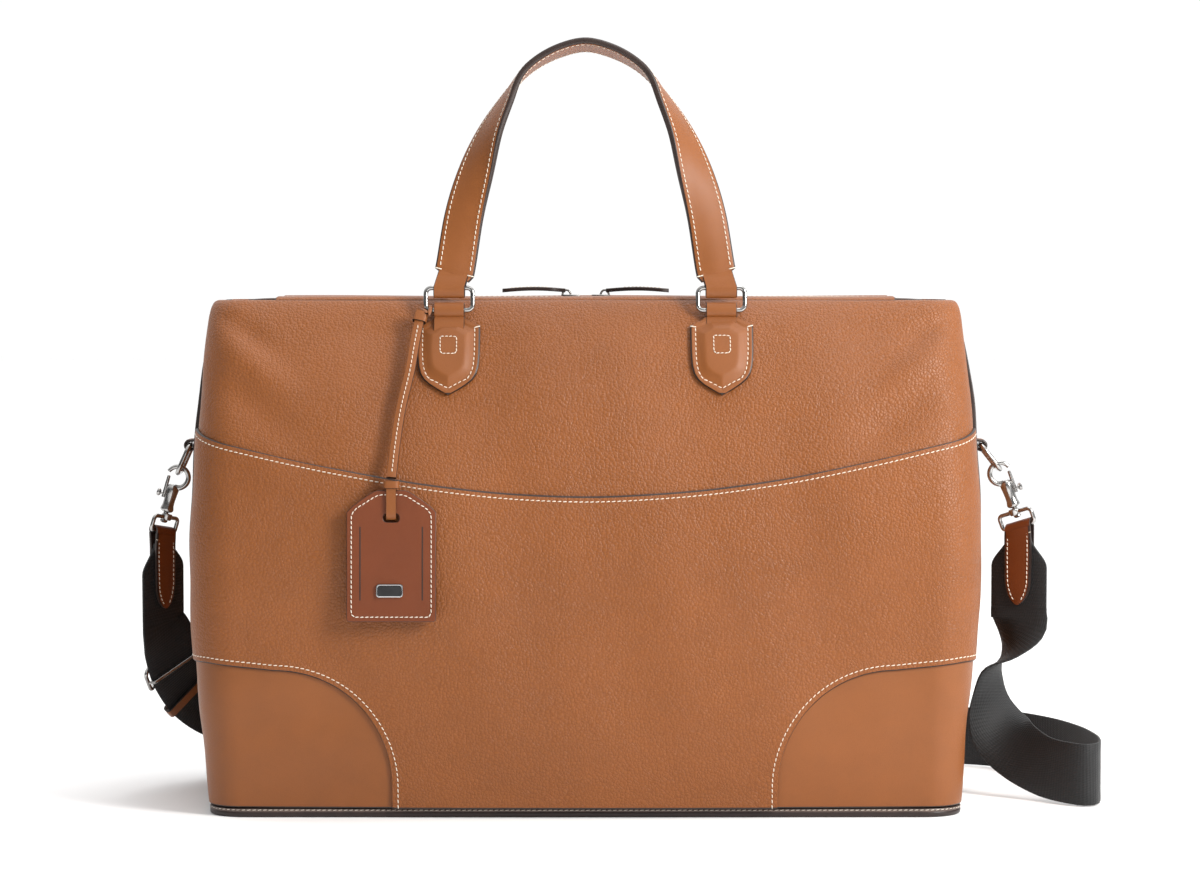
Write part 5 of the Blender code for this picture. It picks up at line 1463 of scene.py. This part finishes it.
def strap_end(side, name, clip, across, first):
    """Tongue-shaped leather end, folded round the swivel's bar over the webbing."""
    bar = clip["bar"]
    down = unit(first - bar)
    level = unit(across - (across @ down) * down)
    face = np.cross(level, down)
    face = face * (-1.0 if face[1] > 0 else 1.0)
    reach = np.concatenate([np.linspace(0.0015, 0.040, 26), np.linspace(0.0410, 0.0515, 12)])
    half = np.interp(
        reach, [0, 0.020, 0.038, 0.045, 0.0490, 0.0508, 0.0515],
        [0.0094, 0.0096, 0.0092, 0.0072, 0.0046, 0.0024, 0.0009]
    )
    blend = np.clip(reach / 0.015, 0, 1)[:, None]
    lean = unit(across * (1 - blend) + level * blend)
    pieces = []
    outline = [
        (1.0, -0.00075), (1.02, 0.0), (1.0, 0.00075), (0.86, 0.00100), (-0.86, 0.00100), (-1.0, 0.00075),
        (-1.02, 0.0), (-1.0, -0.00075)
    ]
    for sign in (1, -1):
        lift = 0.0021 + 0.0009 * np.clip(1 - reach / 0.010, 0, 1)
        centres = bar + reach[:, None] * down + face * (sign * lift)[:, None]
        ups = np.tile(face * sign, (len(reach), 1))
        pieces.append(sweep(
            "layer", centres, lean, ups, outline, [TAG_LEATHER, DARK_EDGE], [1, 1, 1, 0, 1, 1, 1, 1],
            np.stack([half, np.ones(len(half))], 1)
        ))
    turn = np.radians(np.linspace(-30, 210, 22))
    ring = [bar + face * 0.0030 * math.cos(t) - down * 0.0030 * math.sin(t) for t in turn]
    ups = [face * math.cos(t) - down * math.sin(t) for t in turn]
    fold = [
        (0.0092, -0.0009), (0.0096, 0.0), (0.0092, 0.0009), (-0.0092, 0.0009), (-0.0096, 0.0),
        (-0.0092, -0.0009)
    ]
    pieces.append(sweep(
        "fold", ring, np.tile(across, (len(ring), 1)), ups, fold, [TAG_LEATHER, DARK_EDGE],
        [1, 1, 0, 1, 1, 0]
    ))
    piece = join(f"strap_end_{name}_leather", pieces)
    finish_piece(piece, f"clip_{name}", "smooth_leather", f"strap_end_{name}")
    keep = (reach > 0.006) & (reach < 0.0490)
    rows = []
    for sign in (1, -1):
        base = bar + reach[keep, None] * down + face * sign * 0.0031
        for edge in (-1, 1):
            line = base + lean[keep] * (edge * np.maximum(half[keep] - 0.0024, 0.0006))[:, None]
            rows.append((
                line, np.tile(face * sign, (len(line), 1)),
                {"radius": 0.00034, "pitch": 0.0030, "length": 0.0023}
            ))
        mark = np.linspace(0.0060, 0.0096, 6)
        line = bar + 0.0062 * down + face * sign * 0.0031 + np.outer(mark, across)
        rows.append((line, np.tile(face * sign, (6, 1)), {"pitch": 0.0018, "radius": 0.0004, "slant": 0.0}))
    finish_piece(stitching(f"strap_end_{name}_stitches", rows), f"clip_{name}", "smooth_leather")


def strap_stub(name, clip, across, first):
    """The webbing's end, tapered where it goes in between the leather layers."""
    bar = clip["bar"]
    down = unit(first - bar)
    level = unit(across - (across @ down) * down)
    face = np.cross(level, down)
    top = bar + down * 0.0070
    count = 20
    centres = [top + (first - top) * k / (count - 1) for k in range(count)]
    grow = np.clip(np.linspace(0, 1, count) / 0.42, 0, 1)
    grow = 0.43 + 0.57 * grow * grow * (3 - 2 * grow)
    piece = sweep(
        f"strap_stub_{name}_webbing", centres, np.tile(
            level, (count, 1)
        ), np.tile(face, (count, 1)), STRAP_OUTLINE, [WEBBING],
        scale=np.stack([grow, np.ones(count)], 1), uv=True,
    )
    finish_piece(piece, f"clip_{name}", "webbing", f"strap_stub_{name}")


def shoulder_strap():
    """Free webbing in three runs: the middle lies on the floor and rides on the bag, and both ends stay where
    they are drawn beside their clips.
    """
    centre, wide, face = strap_path()
    right = int(np.argmax(centre[:, 2] < 0.085))
    left = len(centre) - int(np.argmax(centre[::-1, 2] < 0.085))
    runs = [("right", 0, right + 1), ("middle", right, left), ("left", left - 1, len(centre))]
    pieces = {}
    for name, start, stop in runs:
        cut = slice(start, stop)
        pieces[name] = sweep(
            f"shoulder_strap_{name}", centre[cut], wide[cut], face[cut], STRAP_OUTLINE, [WEBBING], uv=True
        )
    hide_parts("shoulder_strap")
    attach(pieces["middle"], "bag")
    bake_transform(pieces["right"])
    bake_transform(pieces["left"])
    on_strap = [*strap_adjuster(centre, wide, face)]


def strap_adjuster(centre, wide, face):
    """Slide buckle and the leather keeper beside it, at the CAD's places."""
    low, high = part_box("strap_adjuster")
    made = []
    middle = np.array((low + high) / 2)
    k = int(np.argmin(np.linalg.norm(centre - middle, axis=1)))
    ahead = unit(centre[k + 1] - centre[k - 1])
    at, across, up = centre[k], wide[k], np.cross(wide[k], ahead)
    pieces = []
    outline = np.array(rounded_box_outline(0.0226, 0.0080, 0.0028, 5))
    path = np.vstack([outline, outline[:1]])
    dense = resample(np.hstack([path, np.zeros((len(path), 1))]), 0.0012)[:-1]
    lift = np.where(np.abs(dense[:, 0]) < 0.0205, 0.0030, 0.0)
    for step in range(3):
        lift = (np.roll(lift, 1) + lift + np.roll(lift, -1)) / 3
    points = at + np.outer(dense[:, 0], across) + np.outer(dense[:, 1], ahead) + np.outer(lift, up)
    pieces.append(round_bar("rim", points, 0.0014, CHROME, True, 14, 1.0, tuple(up)))
    bar = [
        at + across * x - up * 0.0030 * min(1.0, (0.0226 - abs(x)) / 0.003)
        for x in np.linspace(-0.0226, 0.0226, 30)
    ]
    pieces.append(round_bar("bar", bar, 0.0012, CHROME, False, 12, 1.0, tuple(ahead)))
    piece = join("strap_adjuster_metal", pieces)
    made.append(finish_piece(piece, "bag", "polished_metal", "strap_adjuster"))
    low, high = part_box("strap_keeper")
    k = int(np.argmin(np.linalg.norm(centre - np.array((low + high) / 2), axis=1)))
    ahead = unit(centre[k + 1] - centre[k - 1])
    at, across, up = centre[k], wide[k], np.cross(wide[k], ahead)
    outline = rounded_box_outline(0.0216, 0.0028, 0.0018, 4)
    path = np.array([(*p, 0.0) for p in outline + outline[:1]])
    dense = resample(path, 0.0010)[:-1]
    points = at + np.outer(dense[:, 0], across) + np.outer(dense[:, 1], up)
    outward = unit(np.outer(dense[:, 0] * 0.2, across) + np.outer(dense[:, 1], up))
    section_line = [
        (0.0038, -0.0006), (0.0040, 0.0), (0.0038, 0.0007), (-0.0038, 0.0007), (-0.0040, 0.0),
        (-0.0038, -0.0006)
    ]
    keeper = sweep(
        "strap_keeper_leather", points, np.tile(ahead, (len(points), 1)), outward, section_line,
        [SMOOTH, DARK_EDGE], [1, 1, 0, 1, 1, 0], None, True
    )
    made.append(finish_piece(keeper, "bag", "smooth_leather", "strap_keeper"))
    return made


# ---- luggage tag ---------------------------------------------------------------------------------------


def tag_axes():
    lean = math.radians(3.5)
    return np.array([1.0, 0, 0]), np.array([0, math.sin(lean), math.cos(lean)]), np.array([
        0, -math.cos(lean), math.sin(lean)
    ])


def tag_outline(inset=0.0):
    """Tag's outline from its lower right corner round to its lower left, with chamfers and an arched top."""
    half, foot = TAG_HALF - inset, -TAG_HEIGHT + inset
    arch = [
        (0.0280, -0.0148), (0.0240, -0.0108), (0.0185, -0.0068), (0.0135, -0.0034), (0.0105, -0.0018),
        (0.0085, -0.0012)
    ]
    right = [(half - 0.0016, foot), (half - 0.0004, foot + 0.0006), (half, foot + 0.0020)]
    right += [
        (x - inset * (0.55 if x < 0.027 else 1.0), y - inset * (0.9 if x < 0.02 else 0.6)) for x, y in arch
    ]
    return right + [(-x, y) for x, y in right[::-1]]


def tag_plate(name, lift, thickness, material, node, slot_name):
    """A flat leather layer with a slot near its top, and softened, painted edges."""
    right, up, face = tag_axes()
    curve = bpy.data.curves.new(name, "CURVE")
    curve.dimensions = "2D"
    curve.fill_mode = "BOTH"
    curve.extrude = thickness / 2 - 0.0005
    curve.bevel_depth = 0.0005
    curve.bevel_resolution = 3
    curve.offset = -0.0005
    slot_line = [(x, y - 0.0185) for x, y in rounded_box_outline(0.0050, 0.0026, 0.0022, 5)]
    for line in (tag_outline(), slot_line):
        spline = curve.splines.new("POLY")
        spline.points.add(len(line) - 1)
        for point, (x, y) in zip(spline.points, line):
            point.co = (x, y, 0.0, 1.0)
        spline.use_cyclic_u = True
    holder = bpy.data.objects.new(name, curve)
    bpy.context.scene.collection.objects.link(holder)
    mesh = bpy.data.meshes.new_from_object(holder.evaluated_get(bpy.context.evaluated_depsgraph_get()))
    bpy.data.objects.remove(holder)
    turn = Matrix((right, up, face)).transposed().to_4x4()
    mesh.transform(Matrix.Translation(TAG_TOP + Vector(face) * lift) @ turn)
    mesh.materials.clear()
    mesh.materials.append(material)
    mesh.materials.append(DARK_EDGE)
    normals = np.array([p.normal for p in mesh.polygons])
    slots = (np.abs(normals @ face) < 0.98).astype(np.int32)
    mesh.polygons.foreach_set("material_index", slots)
    piece = bpy.data.objects.new(name, mesh)
    bpy.context.scene.collection.objects.link(piece)
    return finish_piece(piece, "tag", slot_name, node)


def luggage_tag():
    right, up, face = tag_axes()
    layer = 0.0016
    tag_plate("tag_front_leather", layer / 2 + 0.0002, layer, TAG_LEATHER, "tag_front", "smooth_leather")
    tag_plate("tag_back_leather", -layer / 2 - 0.0002, layer, TAG_LEATHER, "tag_back", "smooth_leather")
    front = layer + 0.0002

    def on_tag(line, lift=0.0001, sign=1):
        line = np.asarray(line, float)
        base = np.array(TAG_TOP) + np.outer(line[:, 0], right) + np.outer(line[:, 1], up)
        return base + face * sign * (front + lift), np.tile(face * sign, (len(line), 1))

    border = np.array(tag_outline(0.0030))
    border = np.vstack([border, border[:1]])
    border = resample(np.hstack([border, np.zeros((len(border), 1))]), 0.0012)[:, :2]
    rows = [(*on_tag(border), {"pitch": 0.0031, "length": 0.0023, "radius": 0.00032})]
    rows.append((*on_tag(border, 0.0001, -1), {"pitch": 0.0031, "length": 0.0023, "radius": 0.00032}))
    finish_piece(stitching("tag_stitches", rows), "tag", "smooth_leather")
    # two dark slits that hold the address window's card
    for side in (-1, 1):
        line = np.stack([np.full(24, side * 0.0195), np.linspace(-0.0240, -0.0700, 24)], axis=1)
        points, _ = on_tag(line, -0.00005)
        slit = sweep(
            f"tag_slit_{'left' if side < 0 else 'right'}", points, np.tile(right, (24, 1)),
            np.tile(face, (24, 1)), rounded_box_outline(0.0004, 0.00018, 0.0001, 1), [DARK_EDGE]
        )
        finish_piece(slit, "tag", "smooth_leather")
    # badge: a plain rounded plate with a dark enamel field
    centre = np.array(TAG_TOP) - right * 0.0010 - up * 0.0640 + face * front
    rings = []
    for grow, height in (
        (1.0, 0.0002), (1.0, 0.0012), (0.96, 0.0016), (0.86, 0.0017), (0.80, 0.0016), (0.78, 0.0013)
    ):
        outline = np.array(rounded_box_outline(
            0.0085 - 0.0042 * (1 - grow), 0.0042 - 0.0042 * (1 - grow), 0.0018, 6
        ))
        rings.append(centre + np.outer(outline[:, 0], right) + np.outer(outline[:, 1], up) + face * height)
    count = len(rings[0])
    faces = [tuple(f) for f in lattice(len(rings), count, closed=True)]
    faces += [tuple(range(count))[::-1], tuple(range((len(rings) - 1) * count, len(rings) * count))]
    slots = [0] * (len(faces) - 1) + [1]
    badge = fix_normals(
        add_mesh("tag_badge_metal", np.concatenate(rings), faces, [BADGE_RIM, ENAMEL], slots, 30.0), 30.0
    )
    finish_piece(badge, "tag", "badge_metal", "tag_badge")
    # lower loop: through the slot, with a wrapped keeper above the tag
    out = front + 0.0014
    line = curve_through(
        [
            (-out, 0.0040), (-out, -0.0140), (-out * 0.75, -0.0178), (0, -0.0190), (out * 0.75, -0.0178),
            (out, -0.0140), (out, 0.0040)
        ],
        6
    )
    centres = np.array(TAG_TOP) + np.outer(line[:, 0], face) + np.outer(line[:, 1], up)
    ahead = unit(np.gradient(line, axis=0))
    ups = np.outer(ahead[:, 1], face) - np.outer(ahead[:, 0], up)
    strap = [
        (0.0030, -0.0006), (0.0031, 0.0), (0.0030, 0.0007), (-0.0030, 0.0007), (-0.0031, 0.0),
        (-0.0030, -0.0006)
    ]
    loop = sweep(
        "loop", centres, np.tile(right, (len(line), 1)), ups, strap, [SMOOTH, DARK_EDGE], [1, 1, 0, 1, 1, 0]
    )
    outline = rounded_box_outline(0.0044, 0.0046, 0.0018, 4)
    path = resample(np.array([(*p, 0.0) for p in outline + outline[:1]]), 0.0008)[:-1]
    points = np.array(TAG_TOP) + up * 0.0024 + np.outer(path[:, 0], right) + np.outer(path[:, 1], face)
    outward = unit(np.outer(path[:, 0], right) + np.outer(path[:, 1], face))
    band = [
        (0.0023, -0.0004), (0.0024, 0.0), (0.0022, 0.0006), (-0.0022, 0.0006), (-0.0024, 0.0),
        (-0.0023, -0.0004)
    ]
    keeper = sweep(
        "keeper", points, np.tile(up, (len(points), 1)), outward, band, [SMOOTH, DARK_EDGE],
        [1, 1, 0, 1, 1, 0], None, True
    )
    piece = join("tag_loop_leather", [loop, keeper])
    finish_piece(piece, "tag", "smooth_leather", "tag_loop")


TAG_NECK_TOP, TAG_NECK_FOOT = 0.3180, 0.3140  # heights between which the strap widens, behind its keeper
TAG_NECK_SHARE = 0.40


def tag_strap():
    """Doubled strap from the ring down to the tag, its keeper and its turned end."""
    x0 = -0.0988
    _, up, _ = tag_axes()
    end = np.array(TAG_TOP) + up * 0.0066
    points = [
        (x0, -BAR_Y - 0.0030, 0.3206), (x0, -BAR_Y - 0.0060, 0.3196), (x0 - 0.0010, -BAR_Y - 0.0080, 0.3172)
    ]
    for x, z, lift in (
        (-0.1040, 0.3145, 0.0082), (-0.1068, 0.3040, 0.0074), (-0.1086, 0.2935, 0.0070),
        (-0.1110, 0.2780, 0.0070), (-0.1160, 0.2560, 0.0070), (-0.1190, 0.2340, 0.0070)
    ):
        points.append(tuple(bag_surface(x, z, -lift)))
    points.append(tuple(end))
    line = resample(curve_through(points, 10), 0.0016)
    ahead = unit(np.gradient(line, axis=0))
    wide = np.tile([1.0, 0, 0], (len(line), 1))
    wide = unit(wide - (wide * ahead).sum(1, keepdims=True) * ahead)
    ups = np.cross(ahead, wide)
    ups = ups * np.where(ups[:, 1:2] > 0, -1.0, 1.0)
    grow = np.clip((TAG_NECK_TOP - line[:, 2]) / (TAG_NECK_TOP - TAG_NECK_FOOT), TAG_NECK_SHARE, 1)
    outline = [
        (0.0029, -0.0014), (0.0031, -0.0004), (0.0031, 0.0004), (0.0029, 0.0014), (0.0010, 0.0017),
        (-0.0010, 0.0017), (-0.0029, 0.0014), (-0.0031, 0.0004), (-0.0031, -0.0004), (-0.0029, -0.0014)
    ]
    strap = sweep(
        "strap", line, wide, ups, outline, [SMOOTH, DARK_EDGE], [1, 1, 1, 0, 0, 0, 1, 1, 1, 0],
        np.stack([grow, np.ones(len(grow))], 1)
    )
    turn = np.radians(np.linspace(-60, 250, 26))
    ring = [(x0, -BAR_Y - 0.0027 * math.cos(t), BAR_Z + 0.0027 * math.sin(t)) for t in turn]
    outward = [(0, -math.cos(t), math.sin(t)) for t in turn]
    eye = sweep(
        "eye", ring, np.tile([1.0, 0, 0], (len(ring), 1)), outward,
        [
            (0.0012, -0.0006), (0.0014, 0.0), (0.0012, 0.0006), (-0.0012, 0.0006), (-0.0014, 0.0),
            (-0.0012, -0.0006)
        ],
        [SMOOTH, DARK_EDGE], [1, 1, 0, 1, 1, 0]
    )
    k = int(np.argmin(np.abs(line[:, 2] - 0.3160)))
    path = resample(
        np.array([(*p, 0.0) for p in rounded_box_outline(0.0038, 0.0024, 0.0012, 4) + [(0.0038, 0.0012)]]),
        0.0008
    )[:-1]
    places = line[k] + np.outer(path[:, 0], wide[k]) + np.outer(path[:, 1], ups[k])
    outs = unit(np.outer(path[:, 0], wide[k]) + np.outer(path[:, 1], ups[k]))
    band = [
        (0.0034, -0.0004), (0.0036, 0.0), (0.0034, 0.0006), (-0.0034, 0.0006), (-0.0036, 0.0),
        (-0.0034, -0.0004)
    ]
    keeper = sweep(
        "keeper", places, np.tile(ahead[k], (len(places), 1)), outs, band, [SMOOTH, DARK_EDGE],
        [1, 1, 0, 1, 1, 0], None, True
    )
    piece = join("tag_strap_leather", [strap, eye, keeper])
    finish_piece(piece, "tag_strap", "smooth_leather", "tag_strap")
    keep = (line[:, 2] < 0.311) & (line[:, 2] > 0.218)
    row = [(
        line[keep] + ups[keep] * 0.0018, ups[keep], {"pitch": 0.0031, "length": 0.0023, "radius": 0.0003}
    )]
    finish_piece(stitching("tag_strap_stitches", row), "tag_strap", "smooth_leather")


# ---- put it together -----------------------------------------------------------------------------------


def build_bag():
    for name, back in (("front", False), ("back", True)):
        lower_panel(f"{name}_lower_leather", back)
        upper_panel(f"{name}_upper_leather", back)
        top_flap(name, back)
        zip_side(name, back)
    for side, name in ((-1, "left"), (1, "right")):
        corner_boot(side, f"corner_boot_{name}")
        gusset(side, f"gusset_{name}")
        side_seam(side, name, False)
        side_seam(side, name, True)
        zip_slider(side, name)
        zip_end(side, name)
    base_piece()
    lining()
    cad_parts["base_board"].material_slots[0].material = BOARD


def build_handles():
    places = {
        "front": (False, FRONT_TILT, FRONT_TILT, "rings_front", "handle_front"),
        "rear": (True, REAR_RING_TILT, REAR_HANDLE_TILT, "rings_rear", "handle_rear"),
    }
    for name, (back, ring_tilt, handle_tilt, ring_body, handle_body) in places.items():
        lower = np.array([0.0, BAR_Y if back else -BAR_Y, BAR_Z])
        upper = lower + tilted(ring_tilt) * RING_HEIGHT
        for side, word in ((-1, "left"), (1, "right")):
            chape(side, name, back)
            handle_ring(side, f"{name}_{word}", ring_tilt, lower, ring_body)
        handle(f"handle_{name}", handle_tilt, upper, handle_body)


def build_strap():
    first = {"right": np.array([0.285, 0.0, 0.124]), "left": np.array([-0.279, 0.008, 0.122])}
    clips = {
        "right": (1, 38.0, 20.0, np.array([0.814, -0.500, 0.296])),
        "left": (-1, 24.0, 16.0, np.array([-0.550, -0.830, 0.160])),
    }
    for name, (side, d_tilt, hook_tilt, across) in clips.items():
        clip = clip_points(side, d_tilt, hook_tilt)
        across = unit(across - (across @ clip["axis"]) * clip["axis"])
        side_tab(side, name, clip)
        d_ring(side, name, clip)
        snap_hook(side, name, clip)
        swivel(side, name, clip, across)
        strap_end(side, name, clip, across, first[name])
        strap_stub(name, clip, across, first[name])
    shoulder_strap()


def build_tag():
    luggage_tag()
    tag_strap()


# ---- camera, light and floor ---------------------------------------------------------------------------


def build_studio():
    camera_data = bpy.data.cameras.new("camera")
    camera_data.lens = 110.2
    camera_data.sensor_width = 36.0
    camera = bpy.data.objects.new("camera", camera_data)
    camera.location = (0.0094, -2.41, 0.345)
    camera.rotation_euler = (math.radians(90.0 - 2.72), 0.0, 0.0)
    bpy.context.scene.collection.objects.link(camera)
    bpy.context.scene.camera = camera

    floor = Nodes("pale_floor")
    floor.shader.inputs["Base Color"].default_value = (0.95, 0.95, 0.95, 1.0)
    floor.shader.inputs["Roughness"].default_value = 0.85
    floor.shader.inputs["Specular IOR Level"].default_value = 0.1
    size = 12.0
    plane = add_mesh(
        "floor", [(-size, -size, 0), (size, -size, 0), (size, size, 0), (-size, size, 0)], [(0, 1, 2, 3)],
        [floor.material], None, None
    )

    world = bpy.data.worlds.new("studio")
    world.use_nodes = True
    sky = world.node_tree
    direction = sky.nodes.new("ShaderNodeTexCoord")
    split = sky.nodes.new("ShaderNodeSeparateXYZ")
    sky.links.new(direction.outputs["Generated"], split.inputs["Vector"])
    total = None
    # soft light: dim in front, white behind and above, a little brighter on the right
    for axis, start, end, low, high in (
        ("Y", -0.1, 0.6, 0.24, 1.04), ("Z", 0.25, 0.9, 0.0, 0.85), ("X", -0.9, 0.9, -0.12, 0.12)
    ):
        band = sky.nodes.new("ShaderNodeMapRange")
        band.interpolation_type = "SMOOTHSTEP"
        for key, value in (("From Min", start), ("From Max", end), ("To Min", low), ("To Max", high)):
            band.inputs[key].default_value = value
        sky.links.new(split.outputs[axis], band.inputs["Value"])
        if total is None:
            total = band.outputs["Result"]
            continue
        add = sky.nodes.new("ShaderNodeMath")
        sky.links.new(total, add.inputs[0])
        sky.links.new(band.outputs["Result"], add.inputs[1])
        total = add.outputs["Value"]
    sky.links.new(total, sky.nodes["Background"].inputs["Strength"])
    sky.nodes["Background"].inputs["Color"].default_value = (1.0, 1.0, 1.0, 1.0)
    bpy.context.scene.world = world
    bpy.context.scene.view_settings.view_transform = "Standard"

    def area(name, place, target, size, energy, tint=(1.0, 1.0, 1.0)):
        data = bpy.data.lights.new(name, "AREA")
        data.shape = "RECTANGLE"
        data.size, data.size_y = size
        data.energy = energy
        data.color = tint
        lamp = bpy.data.objects.new(name, data)
        lamp.location = place
        lamp.rotation_euler = (Vector(target) - Vector(place)).to_track_quat("-Z", "Y").to_euler()
        bpy.context.scene.collection.objects.link(lamp)

    area("key", (1.25, -1.05, 1.00), (0.05, 0.0, 0.20), (0.5, 0.8), 36.0, (1.0, 0.985, 0.96))
    area("top", (0.3, 0.1, 2.0), (0.0, 0.0, 0.2), (1.4, 0.9), 12.0)


build_studio()
build_strap()
build_bag()
build_handles()
build_tag()
